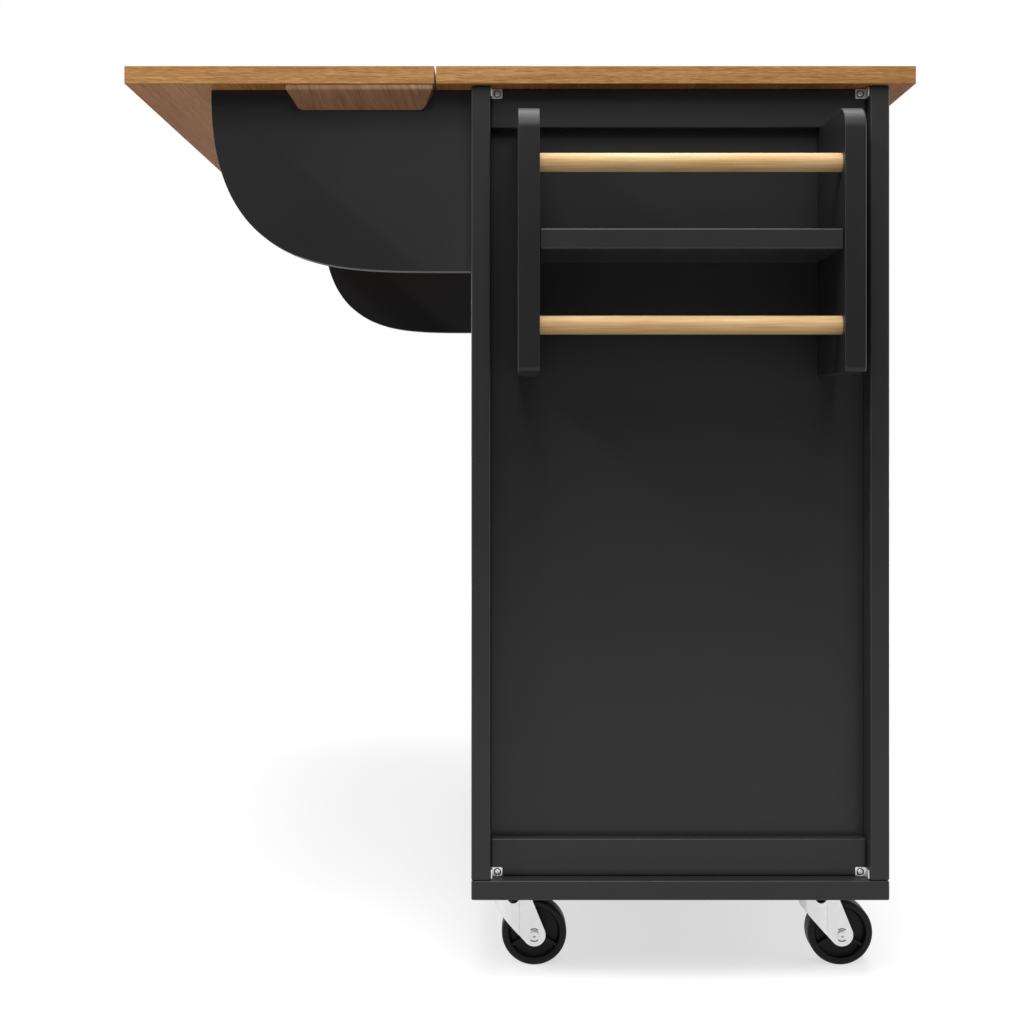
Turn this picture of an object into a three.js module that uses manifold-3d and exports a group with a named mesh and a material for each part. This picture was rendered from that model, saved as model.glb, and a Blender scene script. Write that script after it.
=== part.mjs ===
// Rolling kitchen island with a drop leaf.
//
// Millimetres, +Z up. The doors and drawers face -Y, the drop leaf is at the back (+Y), and the
// island's length runs along X, with the rail and shelf rack on the left end (-X). The pieces are
// laid out about the middle of the cabinet's length; the last lines move the whole island along X
// so that the origin is on the floor under the middle of everything.
// At rest the leaf is up and both support brackets are swung out under it.

import * as THREE from 'three';
import { mergeVertices } from 'three/addons/utils/BufferGeometryUtils.js';
import Module from 'manifold-3d';

const wasm = await Module();
wasm.setup();

// ---------------------------------------------------------------- driving dimensions

const fitGap = 0.3; // between pieces that touch
const past = 1; // how far a cutting tool runs on past the face that it cuts
const edge = { board: 1.2, inner: 0.8, panel: 0.5 }; // rounding of the painted boards' edges

const overall = { length: 960, depth: 785, height: 913 }; // over the two worktop boards
const worktop = { depth: 475.9, thick: 17.5, gap: 1.8, edge: 1.5 }; // gap: main board to leaf
const overhang = { front: 24.5, back: 34.8, end: 5.9 }; // worktop past the cabinet

const post = { along: { front: 42, back: 66 }, deep: 19.1 }; // along X, and along Y
const base = { bottom: 83.6, thick: 19.5 };
const endRail = { setback: 15.1, thick: 12.5, upper: 39.1, lower: 37.5 };
const endPanel = { thick: 5 };
const backPanel = { thick: 5, groove: 6, fromBack: 7.5 };
const frontRail = { tall: 33.4 };
const deck = { thick: 15, top: 715 };
const divider = { thick: 15 };
const shelf = { thick: 15, top: 407, setback: 4 };

const rack = {
  reach: 118.6, // out from the end panel
  outer: 324.6, // across both sides
  front: -322.0, // y of the side nearer the doors
  side: 20.1,
  top: 856.1,
  bottom: 606.1,
  noseRadius: 22, // at the front of each side's top
  toeRadius: 5,
  backRadius: 1.5, // against the cabinet
  shelfTop: 740.6,
  shelfThick: 19.4,
  shelfSetback: 3.5,
  dowelDiameter: 18,
  dowelSetback: 17.6, // dowel axis behind the sides' front
  dowelHeights: { upper: 804.5, lower: 651.0 },
  socket: 8,
};

const support = {
  reach: 261, // from the hinge edge to the tip
  drop: 182.6,
  thick: 18,
  inset: 26.1, // outer face behind the worktop's end
  roundness: { across: 4.1, down: 2.4 }, // exponents of the outline's superellipse
  backGap: 2, // hinge edge to the cabinet's back
  topGap: 0.4,
  edge: 1.5,
};
const stopBlock = {
  length: 145.6,
  tall: 20.3,
  start: 1.8, // from the leaf's inner edge
  shoulder: 4.5, // upright part of each end, above the slope
  shoulderRadius: 2,
  slope: 10.3, // how far each end slopes in
  toeRadius: 8,
  lip: 5.5, // upright part of the outer face
  lipRadius: 2.5,
  setback: 1, // outer face behind the leaf's end
  gap: 0.5, // to the support bracket
};

// Strip hinges, with one long leaf on each side of a row of knuckles.
const leafHinge = { length: 318, leaf: 25, thick: 1.5, radius: 2.5, pin: 1.25, knuckles: 7 };
const supportHinge = { length: 150, leaf: 17, thick: 1.2, radius: 2.4, pin: 1.2, knuckles: 5 };
const doorHinge = { leaf: 15, thick: 1.1, radius: 2.4, pin: 1.2, knuckles: 5 };
const hingeFit = {
  play: 0.3, // between neighbouring knuckles
  clear: 0.5, // from the knuckles to the other side's leaf
  groove: 0.6, // round the drop leaf's knuckles, in the two worktop boards
  shut: 0.2, // between the two leaves of a door hinge
  supportTop: 16, // bracket's top to its hinge
  doorEnds: 20, // a door's top and bottom to its hinge
};

const door = { thick: 18, gap: 2, hingeGap: 3, middleGap: 3, stile: 52, recess: 6 };
const drawer = { thick: 18, gap: 2, wall: 11, tall: 120, deep: 340, floor: 5, floorUp: 8, sideGap: 2.5 };
const knob = {
  down: 95, // below the top of its door
  side: [ // [radius, distance from the board]
    [8.5, 0], [8.5, 1.6], [6, 4], [6, 9], [10.7, 12.5], [13, 15.5], [13, 17.5], [10.4, 20.4], [5.2, 21.5],
  ],
};

const caster = {
  fromEnd: 68.4, // swivel axis in from the worktop's end
  rows: { front: -309.6, back: 6.4 }, // y of the swivel axes
  trail: 21.5, // wheel axle from the swivel axis, towards the doors
  plate: { along: 62, deep: 52, thick: 2.4, corner: 6 },
  raceRadius: 16.5,
  raceDepth: 2.2,
  pinRadius: 4.8,
  pinPlay: 0.7,
  pinHead: { radius: 8, thick: 2, below: 0.4 }, // below the fork's sheet
};
const yoke = {
  cupRadius: 19.2, // round front of the stamped fork
  legFace: 17.5, // outer face of each leg from the middle
  sheet: 2,
  top: 78.1,
  bossRadius: 11.6, // round end of each leg, about the axle
  frontEdge: [[20.5, 78.1], [20.5, 62.5], [10.9, 51.8]], // [ahead of the swivel axis, height]
  backEdge: [[-16.2, 78.1], [-20.2, 67.3]],
};
const axle = { radius: 4, headRadius: 6.7, headTop: 5, headThick: 2.1 };
const wheel = {
  radius: 33.7,
  width: 22,
  treadEdge: 2.6,
  rimInner: 26,
  rimTaper: 1.6,
  web: 8,
  hubRadius: 9,
  hubTaper: 1.1,
  hubWidth: 29,
  boreGap: 0.35,
  spokes: 3,
  spokeWide: 3.2,
  spokeAcross: 17.6,
  segments: 24,
};

// ---------------------------------------------------------------- places worked out from them

const halfTop = overall.length / 2;
const frontEdgeY = -overall.depth / 2;
const worktopBackY = frontEdgeY + worktop.depth;
const leafFrontY = worktopBackY + worktop.gap;
const leafBackY = overall.depth / 2;
const leafHingeY = worktopBackY + worktop.gap / 2;
const undersideZ = overall.height - worktop.thick;

const cabinetFront = frontEdgeY + overhang.front;
const cabinetBack = worktopBackY - overhang.back;
const cabinetEnd = halfTop - overhang.end;
const frontPostX = cabinetEnd - post.along.front; // front posts' inner face
const backPostX = cabinetEnd - post.along.back;
const frontPostBack = cabinetFront + post.deep;
const backPostFront = cabinetBack - post.deep;

const baseTop = base.bottom + base.thick;
const carcassBottom = baseTop + fitGap;
const carcassTop = undersideZ - fitGap;
const railX = cabinetEnd - endRail.setback; // end rails' outer face
const panelX = railX - endRail.thick - fitGap; // end panels' outer face
const insideX = panelX - endPanel.thick; // end panels' inner face
const backPanelY = cabinetBack - backPanel.fromBack - backPanel.thick; // its inner face
const frontRailBottom = carcassTop - frontRail.tall;

const wheelAxleZ = wheel.radius * Math.cos(Math.PI / wheel.segments); // a flat of the tread is down

// ---------------------------------------------------------------- finishes

const finish = (color, roughness, metalness = 0) => (
  () => new THREE.MeshStandardMaterial({ color, roughness, metalness })
);
const blackPaint = finish(0x2f2f30, 0.45);
const oakBoard = finish(0xb9854c, 0.5);
const walnutBlock = finish(0x8a5f41, 0.55);
const beechRod = finish(0xe0bd84, 0.5);
const plainBoard = finish(0x3a3836, 0.6);
const zincPlate = finish(0xd4d6d8, 0.3, 0.9);
const blackSteel = finish(0x26272a, 0.4, 0.8);
const blackPlastic = finish(0x1d1d1f, 0.5);

// ---------------------------------------------------------------- solids

// A geometry as a solid: its positions only, with the vertices that faces share merged.
function toSolid(geometry) {
  const bare = geometry.clone();
  bare.deleteAttribute('normal');
  bare.deleteAttribute('uv');
  const merged = mergeVertices(bare, 1e-4);
  return new wasm.Manifold(new wasm.Mesh({
    numProp: 3,
    vertProperties: new Float32Array(merged.attributes.position.array),
    triVerts: new Uint32Array(merged.index.array),
  }));
}

function toGeometry(solid) {
  const mesh = solid.getMesh();
  const geometry = new THREE.BufferGeometry();
  geometry.setAttribute('position', new THREE.BufferAttribute(new Float32Array(mesh.vertProperties), 3));
  geometry.setIndex(new THREE.BufferAttribute(new Uint32Array(mesh.triVerts), 1));
  geometry.computeVertexNormals();
  return geometry;
}

function cut(geometry, ...tools) {
  return toGeometry(tools.reduce((solid, tool) => solid.subtract(toSolid(tool)), toSolid(geometry)));
}

function join(...geometries) {
  const [first, ...rest] = geometries.map(toSolid);
  return toGeometry(rest.reduce((solid, next) => solid.add(next), first));
}

function common(one, other) {
  return toGeometry(toSolid(one).intersect(toSolid(other)));
}

// ---------------------------------------------------------------- shapes

function polygon(points) {
  return new THREE.Shape(points.map(([x, y]) => new THREE.Vector2(x, y)));
}

// A polygon whose corners are rounded: each point is [x, y, radius].
function roundedPolygon(points) {
  const shape = new THREE.Shape();
  const count = points.length;
  points.forEach(([x, y, radius], i) => {
    const [px, py] = points[(i + count - 1) % count];
    const [nx, ny] = points[(i + 1) % count];
    const back = new THREE.Vector2(px - x, py - y).normalize();
    const ahead = new THREE.Vector2(nx - x, ny - y).normalize();
    const half = Math.acos(THREE.MathUtils.clamp(back.dot(ahead), -1, 1)) / 2;
    const reach = radius / Math.tan(half);
    const start = [x + back.x * reach, y + back.y * reach];
    const end = [x + ahead.x * reach, y + ahead.y * reach];
    if (i === 0) shape.moveTo(...start);
    else shape.lineTo(...start);
    if (radius > 0) {
      const bisector = back.clone().add(ahead).normalize().multiplyScalar(radius / Math.sin(half));
      const [cx, cy] = [x + bisector.x, y + bisector.y];
      const turn = back.x * ahead.y - back.y * ahead.x;
      const from = Math.atan2(start[1] - cy, start[0] - cx);
      const to = Math.atan2(end[1] - cy, end[0] - cx);
      shape.absarc(cx, cy, radius, from, to, turn > 0);
    }
  });
  return shape;
}

// A shape extruded along Z, centred on z = 0, with its rims rounded. The finer rims are chamfers.
function slab(shape, thick, rim = 0, curveSegments = 2) {
  const geometry = new THREE.ExtrudeGeometry(shape, {
    depth: thick - 2 * rim,
    curveSegments,
    bevelEnabled: rim > 0,
    bevelSize: rim,
    bevelThickness: rim,
    bevelOffset: -rim,
    bevelSegments: rim > edge.board ? 2 : 1,
  });
  return geometry.translate(0, 0, rim - thick / 2);
}

// Turns a slab so that its shape's x and y run along Y and Z, and its thickness along X.
function facingX(geometry) {
  return geometry.applyMatrix4(new THREE.Matrix4().set(
    0, 0, 1, 0,
    1, 0, 0, 0,
    0, 1, 0, 0,
    0, 0, 0, 1,
  ));
}

// Turns a slab so that its shape's x and y run along X and Z, and its thickness along -Y.
function facingY(geometry) {
  return geometry.rotateX(Math.PI / 2);
}

const span = ([from, to]) => Math.abs(to - from);
const middle = ([from, to]) => (from + to) / 2;

// Boxes and boards lie between two places on each axis.
function box(x, y, z) {
  return new THREE.BoxGeometry(span(x), span(y), span(z)).translate(middle(x), middle(y), middle(z));
}

function roundedBox(width, depth, height, rim) {
  const corner = rim * 1.25; // a little more than the rim, so that the rim can follow it
  const [x, y] = [width / 2, depth / 2];
  const outline = roundedPolygon([[-x, -y, corner], [x, -y, corner], [x, y, corner], [-x, y, corner]]);
  return slab(outline, height, rim, 1);
}

function board(x, y, z, rim = edge.board) {
  return roundedBox(span(x), span(y), span(z), rim).translate(middle(x), middle(y), middle(z));
}

// A cylinder on the axis 'x', 'y' or 'z', from one place on it to another.
function rod(axis, radius, from, to, segments = 12) {
  const geometry = new THREE.CylinderGeometry(radius, radius, to - from, segments);
  geometry.rotateY(Math.PI / segments);
  geometry.translate(0, (from + to) / 2, 0);
  if (axis === 'x') return geometry.rotateZ(-Math.PI / 2);
  if (axis === 'z') return geometry.rotateX(Math.PI / 2);
  return geometry;
}

function lathe(profile, segments, start = 0) {
  return new THREE.LatheGeometry(profile.map(([r, y]) => new THREE.Vector2(r, y)), segments, start);
}

// ---------------------------------------------------------------- assembly

const ends = [['left', -1], ['right', 1]];
const cabinet = new THREE.Group();

function add(parent, name, geometry, material, position = [0, 0, 0]) {
  const mesh = new THREE.Mesh(geometry, material);
  mesh.name = name;
  mesh.position.set(...position);
  parent.add(mesh);
}

function addBoard(parent, name, material, x, y, z, rim = edge.board) {
  add(parent, name, roundedBox(span(x), span(y), span(z), rim), material, [x, y, z].map(middle));
}

// What moves has a group of its own that turns about its pivot. The group inside it has the
// cabinet's own coordinates, and holds the pieces.
function movingGroup(x, y, z) {
  const pivot = new THREE.Group();
  const pieces = new THREE.Group();
  pivot.position.set(x, y, z);
  pieces.position.set(-x, -y, -z);
  pivot.add(pieces);
  cabinet.add(pivot);
  return pieces;
}

// One side of a hinge about the Z axis. Its leaf runs out along `out` and starts `near` to the
// `side` of the pin. The fixed side has the even knuckles and the pin, the other side the odd.
function hingeSide({ length, leaf, thick, radius, pin, knuckles }, out, side, near, isFixed) {
  const block = (from, to, z) => {
    const corners = [[from, near], [to, near], [to, near + thick], [from, near + thick]]
      .map(([u, v]) => [out[0] * u + side[0] * v, out[1] * u + side[1] * v]);
    return slab(polygon(corners), span(z)).translate(0, 0, middle(z));
  };
  const pitch = length / knuckles;
  const pieces = [block(radius + hingeFit.clear, leaf, [-length / 2, length / 2])];
  for (let i = isFixed ? 0 : 1; i < knuckles; i += 2) {
    const from = -length / 2 + i * pitch + (i > 0 ? hingeFit.play / 2 : 0);
    const to = -length / 2 + (i + 1) * pitch - (i < knuckles - 1 ? hingeFit.play / 2 : 0);
    pieces.push(block(0, leaf, [from, to]), rod('z', radius, from, to, 10));
  }
  if (isFixed) return join(...pieces, rod('z', pin, -length / 2, length / 2, 8));
  return cut(join(...pieces), rod('z', pin + fitGap, -length, length, 8));
}

// ---------------------------------------------------------------- cabinet

function makeCarcass() {
  addBoard(cabinet, 'base_board', blackPaint(),
    [-cabinetEnd, cabinetEnd], [cabinetFront, cabinetBack], [base.bottom, baseTop]);

  const tall = [carcassBottom, carcassTop];
  const grooveY = [backPanelY - fitGap, backPanelY + backPanel.thick + fitGap];
  const betweenPosts = [frontPostBack + fitGap, backPostFront - fitGap];
  for (const [end, sx] of ends) {
    addBoard(cabinet, `post_front_${end}`, blackPaint(),
      [sx * cabinetEnd, sx * frontPostX], [cabinetFront, frontPostBack], tall);
    const backPost = board([sx * cabinetEnd, sx * backPostX], [backPostFront, cabinetBack], tall);
    const groove = box([sx * (backPostX - past), sx * (backPostX + backPanel.groove + fitGap)], grooveY,
      [carcassBottom - past, carcassTop + past]);
    add(cabinet, `post_back_${end}`, cut(backPost, groove), blackPaint());

    const acrossRail = [sx * railX, sx * (railX - endRail.thick)];
    addBoard(cabinet, `end_rail_upper_${end}`, blackPaint(),
      acrossRail, betweenPosts, [carcassTop - endRail.upper, carcassTop]);
    addBoard(cabinet, `end_rail_lower_${end}`, blackPaint(),
      acrossRail, betweenPosts, [carcassBottom, carcassBottom + endRail.lower]);
    addBoard(cabinet, `end_panel_${end}`, blackPaint(),
      [sx * panelX, sx * insideX], betweenPosts, tall, edge.panel);
  }

  const backPanelEnd = backPostX + backPanel.groove;
  addBoard(cabinet, 'back_panel', blackPaint(),
    [-backPanelEnd, backPanelEnd], [backPanelY, backPanelY + backPanel.thick], tall, edge.panel);
  addBoard(cabinet, 'front_rail', blackPaint(), [-frontPostX + fitGap, frontPostX - fitGap],
    [cabinetFront, frontPostBack], [frontRailBottom, carcassTop]);
}

// A level board that fills the cabinet from end to end, back to the back panel, and is cut out
// round the posts that it meets.
function insideBoard(frontY, thick, top) {
  const halfWide = insideX - fitGap;
  const whole = board([-halfWide, halfWide], [frontY, backPanelY - fitGap], [top - thick, top], edge.inner);
  const through = [top - thick - past, top + past];
  const notches = ends.flatMap(([, sx]) => [
    box([sx * (frontPostX - fitGap), sx * cabinetEnd],
      [cabinetFront - past, frontPostBack + fitGap], through),
    box([sx * (backPostX - fitGap), sx * cabinetEnd],
      [backPostFront - fitGap, backPanelY + past], through),
  ]);
  return cut(whole, ...notches);
}

function makeInside() {
  add(cabinet, 'drawer_deck', insideBoard(cabinetFront, deck.thick, deck.top), blackPaint());
  addBoard(cabinet, 'drawer_divider', blackPaint(), [-divider.thick / 2, divider.thick / 2],
    [cabinetFront, backPanelY - fitGap], [deck.top + fitGap, frontRailBottom - fitGap]);
  add(cabinet, 'cabinet_shelf',
    insideBoard(frontPostBack + shelf.setback, shelf.thick, shelf.top), plainBoard());
}

// ---------------------------------------------------------------- rack on the left end

function makeRack() {
  const rackBackX = -panelX - fitGap;
  const rackFrontX = rackBackX - rack.reach;
  const tall = rack.top - rack.bottom;
  const outline = roundedPolygon([
    [0, 0, rack.backRadius],
    [-rack.reach, 0, rack.toeRadius],
    [-rack.reach, tall, rack.noseRadius],
    [0, tall, rack.backRadius],
  ]);
  const dowelX = rackFrontX + rack.dowelSetback;
  const dowelRadius = rack.dowelDiameter / 2;
  const backY = rack.front + rack.outer;
  const innerFaces = [rack.front + rack.side, backY - rack.side];
  for (const [row, outerY, inward] of [['front', rack.front, 1], ['back', backY, -1]]) {
    const side = facingY(slab(outline, rack.side, edge.board, 3))
      .translate(rackBackX, outerY + (inward * rack.side) / 2, rack.bottom);
    const innerY = outerY + inward * rack.side;
    const socket = [innerY - rack.socket, innerY + rack.socket];
    const sockets = Object.values(rack.dowelHeights).map((z) => (
      rod('y', dowelRadius + fitGap, ...socket, 16).translate(dowelX, 0, z)
    ));
    add(cabinet, `rack_side_${row}`, cut(side, ...sockets), blackPaint());
  }
  const dowelSpan = [innerFaces[0] - rack.socket + fitGap, innerFaces[1] + rack.socket - fitGap];
  for (const [level, z] of Object.entries(rack.dowelHeights)) {
    add(cabinet, `rack_rail_${level}`, rod('y', dowelRadius, ...dowelSpan, 16), beechRod(), [dowelX, 0, z]);
  }
  addBoard(cabinet, 'rack_shelf', blackPaint(), [rackFrontX + rack.shelfSetback, rackBackX],
    [innerFaces[0] + fitGap, innerFaces[1] - fitGap], [rack.shelfTop - rack.shelfThick, rack.shelfTop]);
}

// ---------------------------------------------------------------- worktop and drop leaf

// Both boards have half of the groove that the leaf hinge's knuckles lie in.
function makeWorktops(leaf) {
  const along = [-halfTop, halfTop];
  const height = [undersideZ, overall.height];
  const grooveEnd = leafHinge.length / 2 + hingeFit.groove;
  const groove = rod('x', leafHinge.radius + hingeFit.groove, -grooveEnd, grooveEnd)
    .translate(0, leafHingeY, undersideZ);
  const mainBoard = board(along, [frontEdgeY, worktopBackY], height, worktop.edge);
  const leafBoard = board(along, [leafFrontY, leafBackY], height, worktop.edge);
  add(cabinet, 'worktop', cut(mainBoard, groove), oakBoard());
  add(leaf, 'drop_leaf', cut(leafBoard, groove), oakBoard());

  const pin = [0, leafHingeY, undersideZ];
  add(cabinet, 'leaf_hinge_fixed',
    facingX(hingeSide(leafHinge, [-1, 0], [0, -1], fitGap, true)), zincPlate(), pin);
  add(leaf, 'leaf_hinge_moving',
    facingX(hingeSide(leafHinge, [1, 0], [0, -1], fitGap, false)), zincPlate(), pin);
}

// The blocks under the leaf's ends stop the brackets square to the cabinet. Their outer faces have
// a short upright lip and then slope back to the bracket.
function makeStopBlocks(leaf) {
  const { length, tall, shoulder, slope, lip } = stopBlock;
  const wide = support.inset - stopBlock.setback - stopBlock.gap;
  const along = roundedPolygon([
    [0, 0, 0],
    [0, -shoulder, stopBlock.shoulderRadius],
    [slope, -tall, stopBlock.toeRadius],
    [length - slope, -tall, stopBlock.toeRadius],
    [length, -shoulder, stopBlock.shoulderRadius],
    [length, 0, 0],
  ]);
  for (const [end, sx] of ends) {
    const across = roundedPolygon([
      [0, past, 0],
      [sx * wide, past, 0],
      [sx * wide, -lip, stopBlock.lipRadius],
      [0, -tall - past, 0],
    ]);
    const block = common(facingX(slab(along, 2 * wide, 0, 4)),
      facingY(slab(across, 2 * length, 0, 3)).translate(0, length / 2, 0));
    add(leaf, `stop_block_${end}`, block, walnutBlock(),
      [sx * (halfTop - support.inset + stopBlock.gap), leafFrontY + stopBlock.start, undersideZ - fitGap]);
  }
}

// ---------------------------------------------------------------- swing-out support brackets

// A quarter of a superellipse, between the bracket's top and its hinge edge.
function supportOutline() {
  const { reach, drop, roundness } = support;
  const steps = 24;
  const curve = Array.from({ length: steps }, (_, i) => {
    const t = (i / steps) * (Math.PI / 2);
    return [reach * Math.cos(t) ** (2 / roundness.across), -drop * Math.sin(t) ** (2 / roundness.down)];
  });
  return polygon([[0, -drop], [0, 0], ...curve].reverse());
}

function makeSupports() {
  const { radius, thick, length } = supportHinge;
  const hingeEdgeY = cabinetBack + support.backGap;
  const topZ = undersideZ - support.topGap;
  const outerX = halfTop - support.inset;
  const pinX = outerX - support.thick - radius - fitGap;
  const pinY = cabinetBack + radius + fitGap;
  const pinZ = topZ - hingeFit.supportTop - length / 2;
  const near = radius - thick;
  for (const [end, sx] of ends) {
    const pin = [sx * pinX, pinY, pinZ];
    const bracket = movingGroup(...pin);
    add(bracket, `support_bracket_${end}`, facingX(slab(supportOutline(), support.thick, support.edge)),
      blackPaint(), [sx * (outerX - support.thick / 2), hingeEdgeY, topZ]);
    add(bracket, `support_hinge_moving_${end}`,
      hingeSide(supportHinge, [0, 1], [sx, 0], near, false), blackSteel(), pin);
    add(cabinet, `support_hinge_fixed_${end}`,
      hingeSide(supportHinge, [-sx, 0], [0, -1], near, true), blackSteel(), pin);
  }
}

// ---------------------------------------------------------------- doors and drawers

// A turned knob whose foot is at y = 0 and whose head is towards -Y.
function knobGeometry() {
  const length = knob.side[knob.side.length - 1][1];
  return lathe([[0, 0], ...knob.side, [0, length]], 16).rotateX(Math.PI);
}

// Two framed doors below the drawers, hinged on the front posts.
function makeDoors() {
  const bottom = baseTop + door.gap;
  const top = deck.top - deck.thick - door.gap;
  const pinX = frontPostX - door.hingeGap / 2;
  const pinY = cabinetFront - doorHinge.radius - fitGap;
  const hinge = { ...doorHinge, length: top - bottom - 2 * hingeFit.doorEnds };
  const near = hingeFit.shut / 2;
  for (const [end, sx] of ends) {
    const pin = [sx * pinX, pinY, (bottom + top) / 2];
    const doorGroup = movingGroup(...pin);
    const [hingeEdge, openEdge] = [sx * (frontPostX - door.hingeGap), (sx * door.middleGap) / 2];
    const frame = board([hingeEdge, openEdge], [cabinetFront, cabinetFront + door.thick], [bottom, top]);
    const field = box([hingeEdge - sx * door.stile, openEdge + sx * door.stile],
      [cabinetFront - past, cabinetFront + door.recess], [bottom + door.stile, top - door.stile]);
    add(doorGroup, `door_${end}`, cut(frame, field), blackPaint());
    add(doorGroup, `door_knob_${end}`, knobGeometry(), blackSteel(),
      [openEdge + (sx * door.stile) / 2, cabinetFront - fitGap, top - knob.down]);
    add(doorGroup, `door_hinge_moving_${end}`,
      hingeSide(hinge, [0, 1], [-sx, 0], near, false), blackSteel(), pin);
    add(cabinet, `door_hinge_fixed_${end}`,
      hingeSide(hinge, [0, 1], [sx, 0], near, true), blackSteel(), pin);
  }
}

// An open-topped box whose floor is let in above the bottom of its sides.
function drawerBox([x0, x1], [y0, y1], bottom) {
  const { wall, tall, floor, floorUp } = drawer;
  const outer = board([x0, x1], [y0, y1], [bottom, bottom + tall], edge.inner);
  const across = [Math.min(x0, x1) + wall, Math.max(x0, x1) - wall];
  const along = [y0 + wall, y1 - wall];
  const inside = box(across, along, [bottom + floorUp + floor, bottom + tall + past]);
  const below = box(across, along, [bottom - past, bottom + floorUp]);
  return cut(outer, inside, below);
}

function makeDrawers() {
  const bottom = deck.top + drawer.gap;
  const top = frontRailBottom - drawer.gap;
  const boxFrontY = cabinetFront + drawer.thick + fitGap;
  const inner = divider.thick / 2;
  for (const [end, sx] of ends) {
    const slide = movingGroup(0, 0, 0);
    const front = [sx * (inner + drawer.gap), sx * (frontPostX - drawer.gap)];
    addBoard(slide, `drawer_front_${end}`, blackPaint(),
      front, [cabinetFront, cabinetFront + drawer.thick], [bottom, top]);
    const boxAcross = [sx * (inner + drawer.sideGap), sx * (frontPostX - drawer.sideGap)];
    add(slide, `drawer_box_${end}`,
      drawerBox(boxAcross, [boxFrontY, boxFrontY + drawer.deep], deck.top + fitGap), plainBoard());
    add(slide, `drawer_knob_${end}`, knobGeometry(), blackSteel(),
      [middle(front), cabinetFront - fitGap, (bottom + top) / 2]);
  }
}

// ---------------------------------------------------------------- casters

// The axle across the fork, with a head riveted over each leg.
function axleGeometry() {
  const { radius, headRadius, headTop, headThick } = axle;
  const face = yoke.legFace;
  const seat = face - yoke.sheet / 2; // each head is let halfway into its leg
  const half = [
    [radius, seat], [headRadius, seat], [headRadius, face + headThick / 2],
    [headTop, face + headThick], [0, face + headThick],
  ];
  const profile = [...[...half].reverse().map(([r, y]) => [r, -y]), ...half];
  return lathe(profile, 12).rotateZ(-Math.PI / 2).translate(0, -caster.trail, wheelAxleZ);
}

// The stamped fork: a sheet bent into a U in plan, cut to its side outline and closed on top,
// with the axle riveted across it.
function forkGeometry() {
  const { cupRadius, legFace, sheet, top, bossRadius, frontEdge, backEdge } = yoke;
  const legEnd = -(caster.trail + bossRadius + past);
  const plan = (radius, face, endY) => {
    const start = -Math.acos(face / radius);
    const shape = new THREE.Shape();
    shape.moveTo(-face, endY);
    shape.lineTo(face, endY);
    shape.absarc(0, 0, radius, start, Math.PI - start, false);
    shape.closePath();
    return shape;
  };
  const outer = slab(plan(cupRadius, legFace, legEnd), top, 0, 7).translate(0, 0, top / 2);
  const inner = slab(plan(cupRadius - sheet, legFace - sheet, legEnd - past), top, 0, 7)
    .translate(0, 0, top / 2 - sheet);

  // down the front edge, round the boss about the axle, and up the back edge
  const tangentAngle = ([y, z], side) => {
    const [dy, dz] = [y + caster.trail, z - wheelAxleZ];
    return Math.atan2(dz, dy) + side * Math.acos(bossRadius / Math.hypot(dy, dz));
  };
  const profile = new THREE.Shape();
  profile.moveTo(...frontEdge[0]);
  for (const corner of frontEdge.slice(1)) profile.lineTo(...corner);
  profile.absarc(-caster.trail, wheelAxleZ, bossRadius, tangentAngle(frontEdge[frontEdge.length - 1], -1),
    tangentAngle(backEdge[backEdge.length - 1], 1), true);
  for (const corner of [...backEdge].reverse()) profile.lineTo(...corner);
  profile.closePath();
  const wall = common(cut(outer, inner), facingX(slab(profile, 4 * cupRadius, 0, 6)));
  const pinHole = rod('z', caster.pinRadius + caster.pinPlay, 0, top + past);
  return join(cut(wall, pinHole), axleGeometry());
}

// The wheel on the X axis: a tread rim, a thin web, a hub, and spokes across the web.
function wheelGeometry() {
  const { radius, width, treadEdge, rimInner, rimTaper, web, hubRadius, hubTaper, hubWidth } = wheel;
  const half = [
    [axle.radius + wheel.boreGap, hubWidth / 2], [hubRadius, hubWidth / 2], [hubRadius + hubTaper, web / 2],
    [rimInner - rimTaper, web / 2], [rimInner, width / 2],
    [radius - treadEdge, width / 2], [radius, width / 2 - treadEdge],
  ];
  const mirrored = [...half].reverse().map(([r, y]) => [r, -y]);
  const profile = [...half, ...mirrored, half[0]].reverse();
  const body = lathe(profile, wheel.segments, Math.PI / wheel.segments).rotateZ(-Math.PI / 2);
  const across = [-wheel.spokeAcross / 2, wheel.spokeAcross / 2];
  const spokes = Array.from({ length: wheel.spokes }, (_, i) => (
    box(across, [-wheel.spokeWide / 2, wheel.spokeWide / 2], [hubRadius - past, rimInner + past])
      .rotateX((i * 2 * Math.PI) / wheel.spokes)
  ));
  return join(body, ...spokes);
}

// Mounting plate with its ball race and the swivel pin, whose head is inside the fork.
function plateGeometry() {
  const { plate, raceRadius, raceDepth, pinRadius, pinHead } = caster;
  const plateTop = base.bottom - fitGap;
  const plateBottom = plateTop - plate.thick;
  const [x, y] = [plate.along / 2, plate.deep / 2];
  const outline = roundedPolygon([[-x, -y], [x, -y], [x, y], [-x, y]].map((at) => [...at, plate.corner]));
  const headTop = yoke.top - yoke.sheet - pinHead.below;
  return join(
    slab(outline, plate.thick).translate(0, 0, plateTop - plate.thick / 2),
    rod('z', raceRadius, plateBottom - raceDepth, plateTop - plate.thick / 2, 16),
    rod('z', pinRadius, headTop - pinHead.thick / 2, plateBottom),
    rod('z', pinHead.radius, headTop - pinHead.thick, headTop),
  );
}

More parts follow.
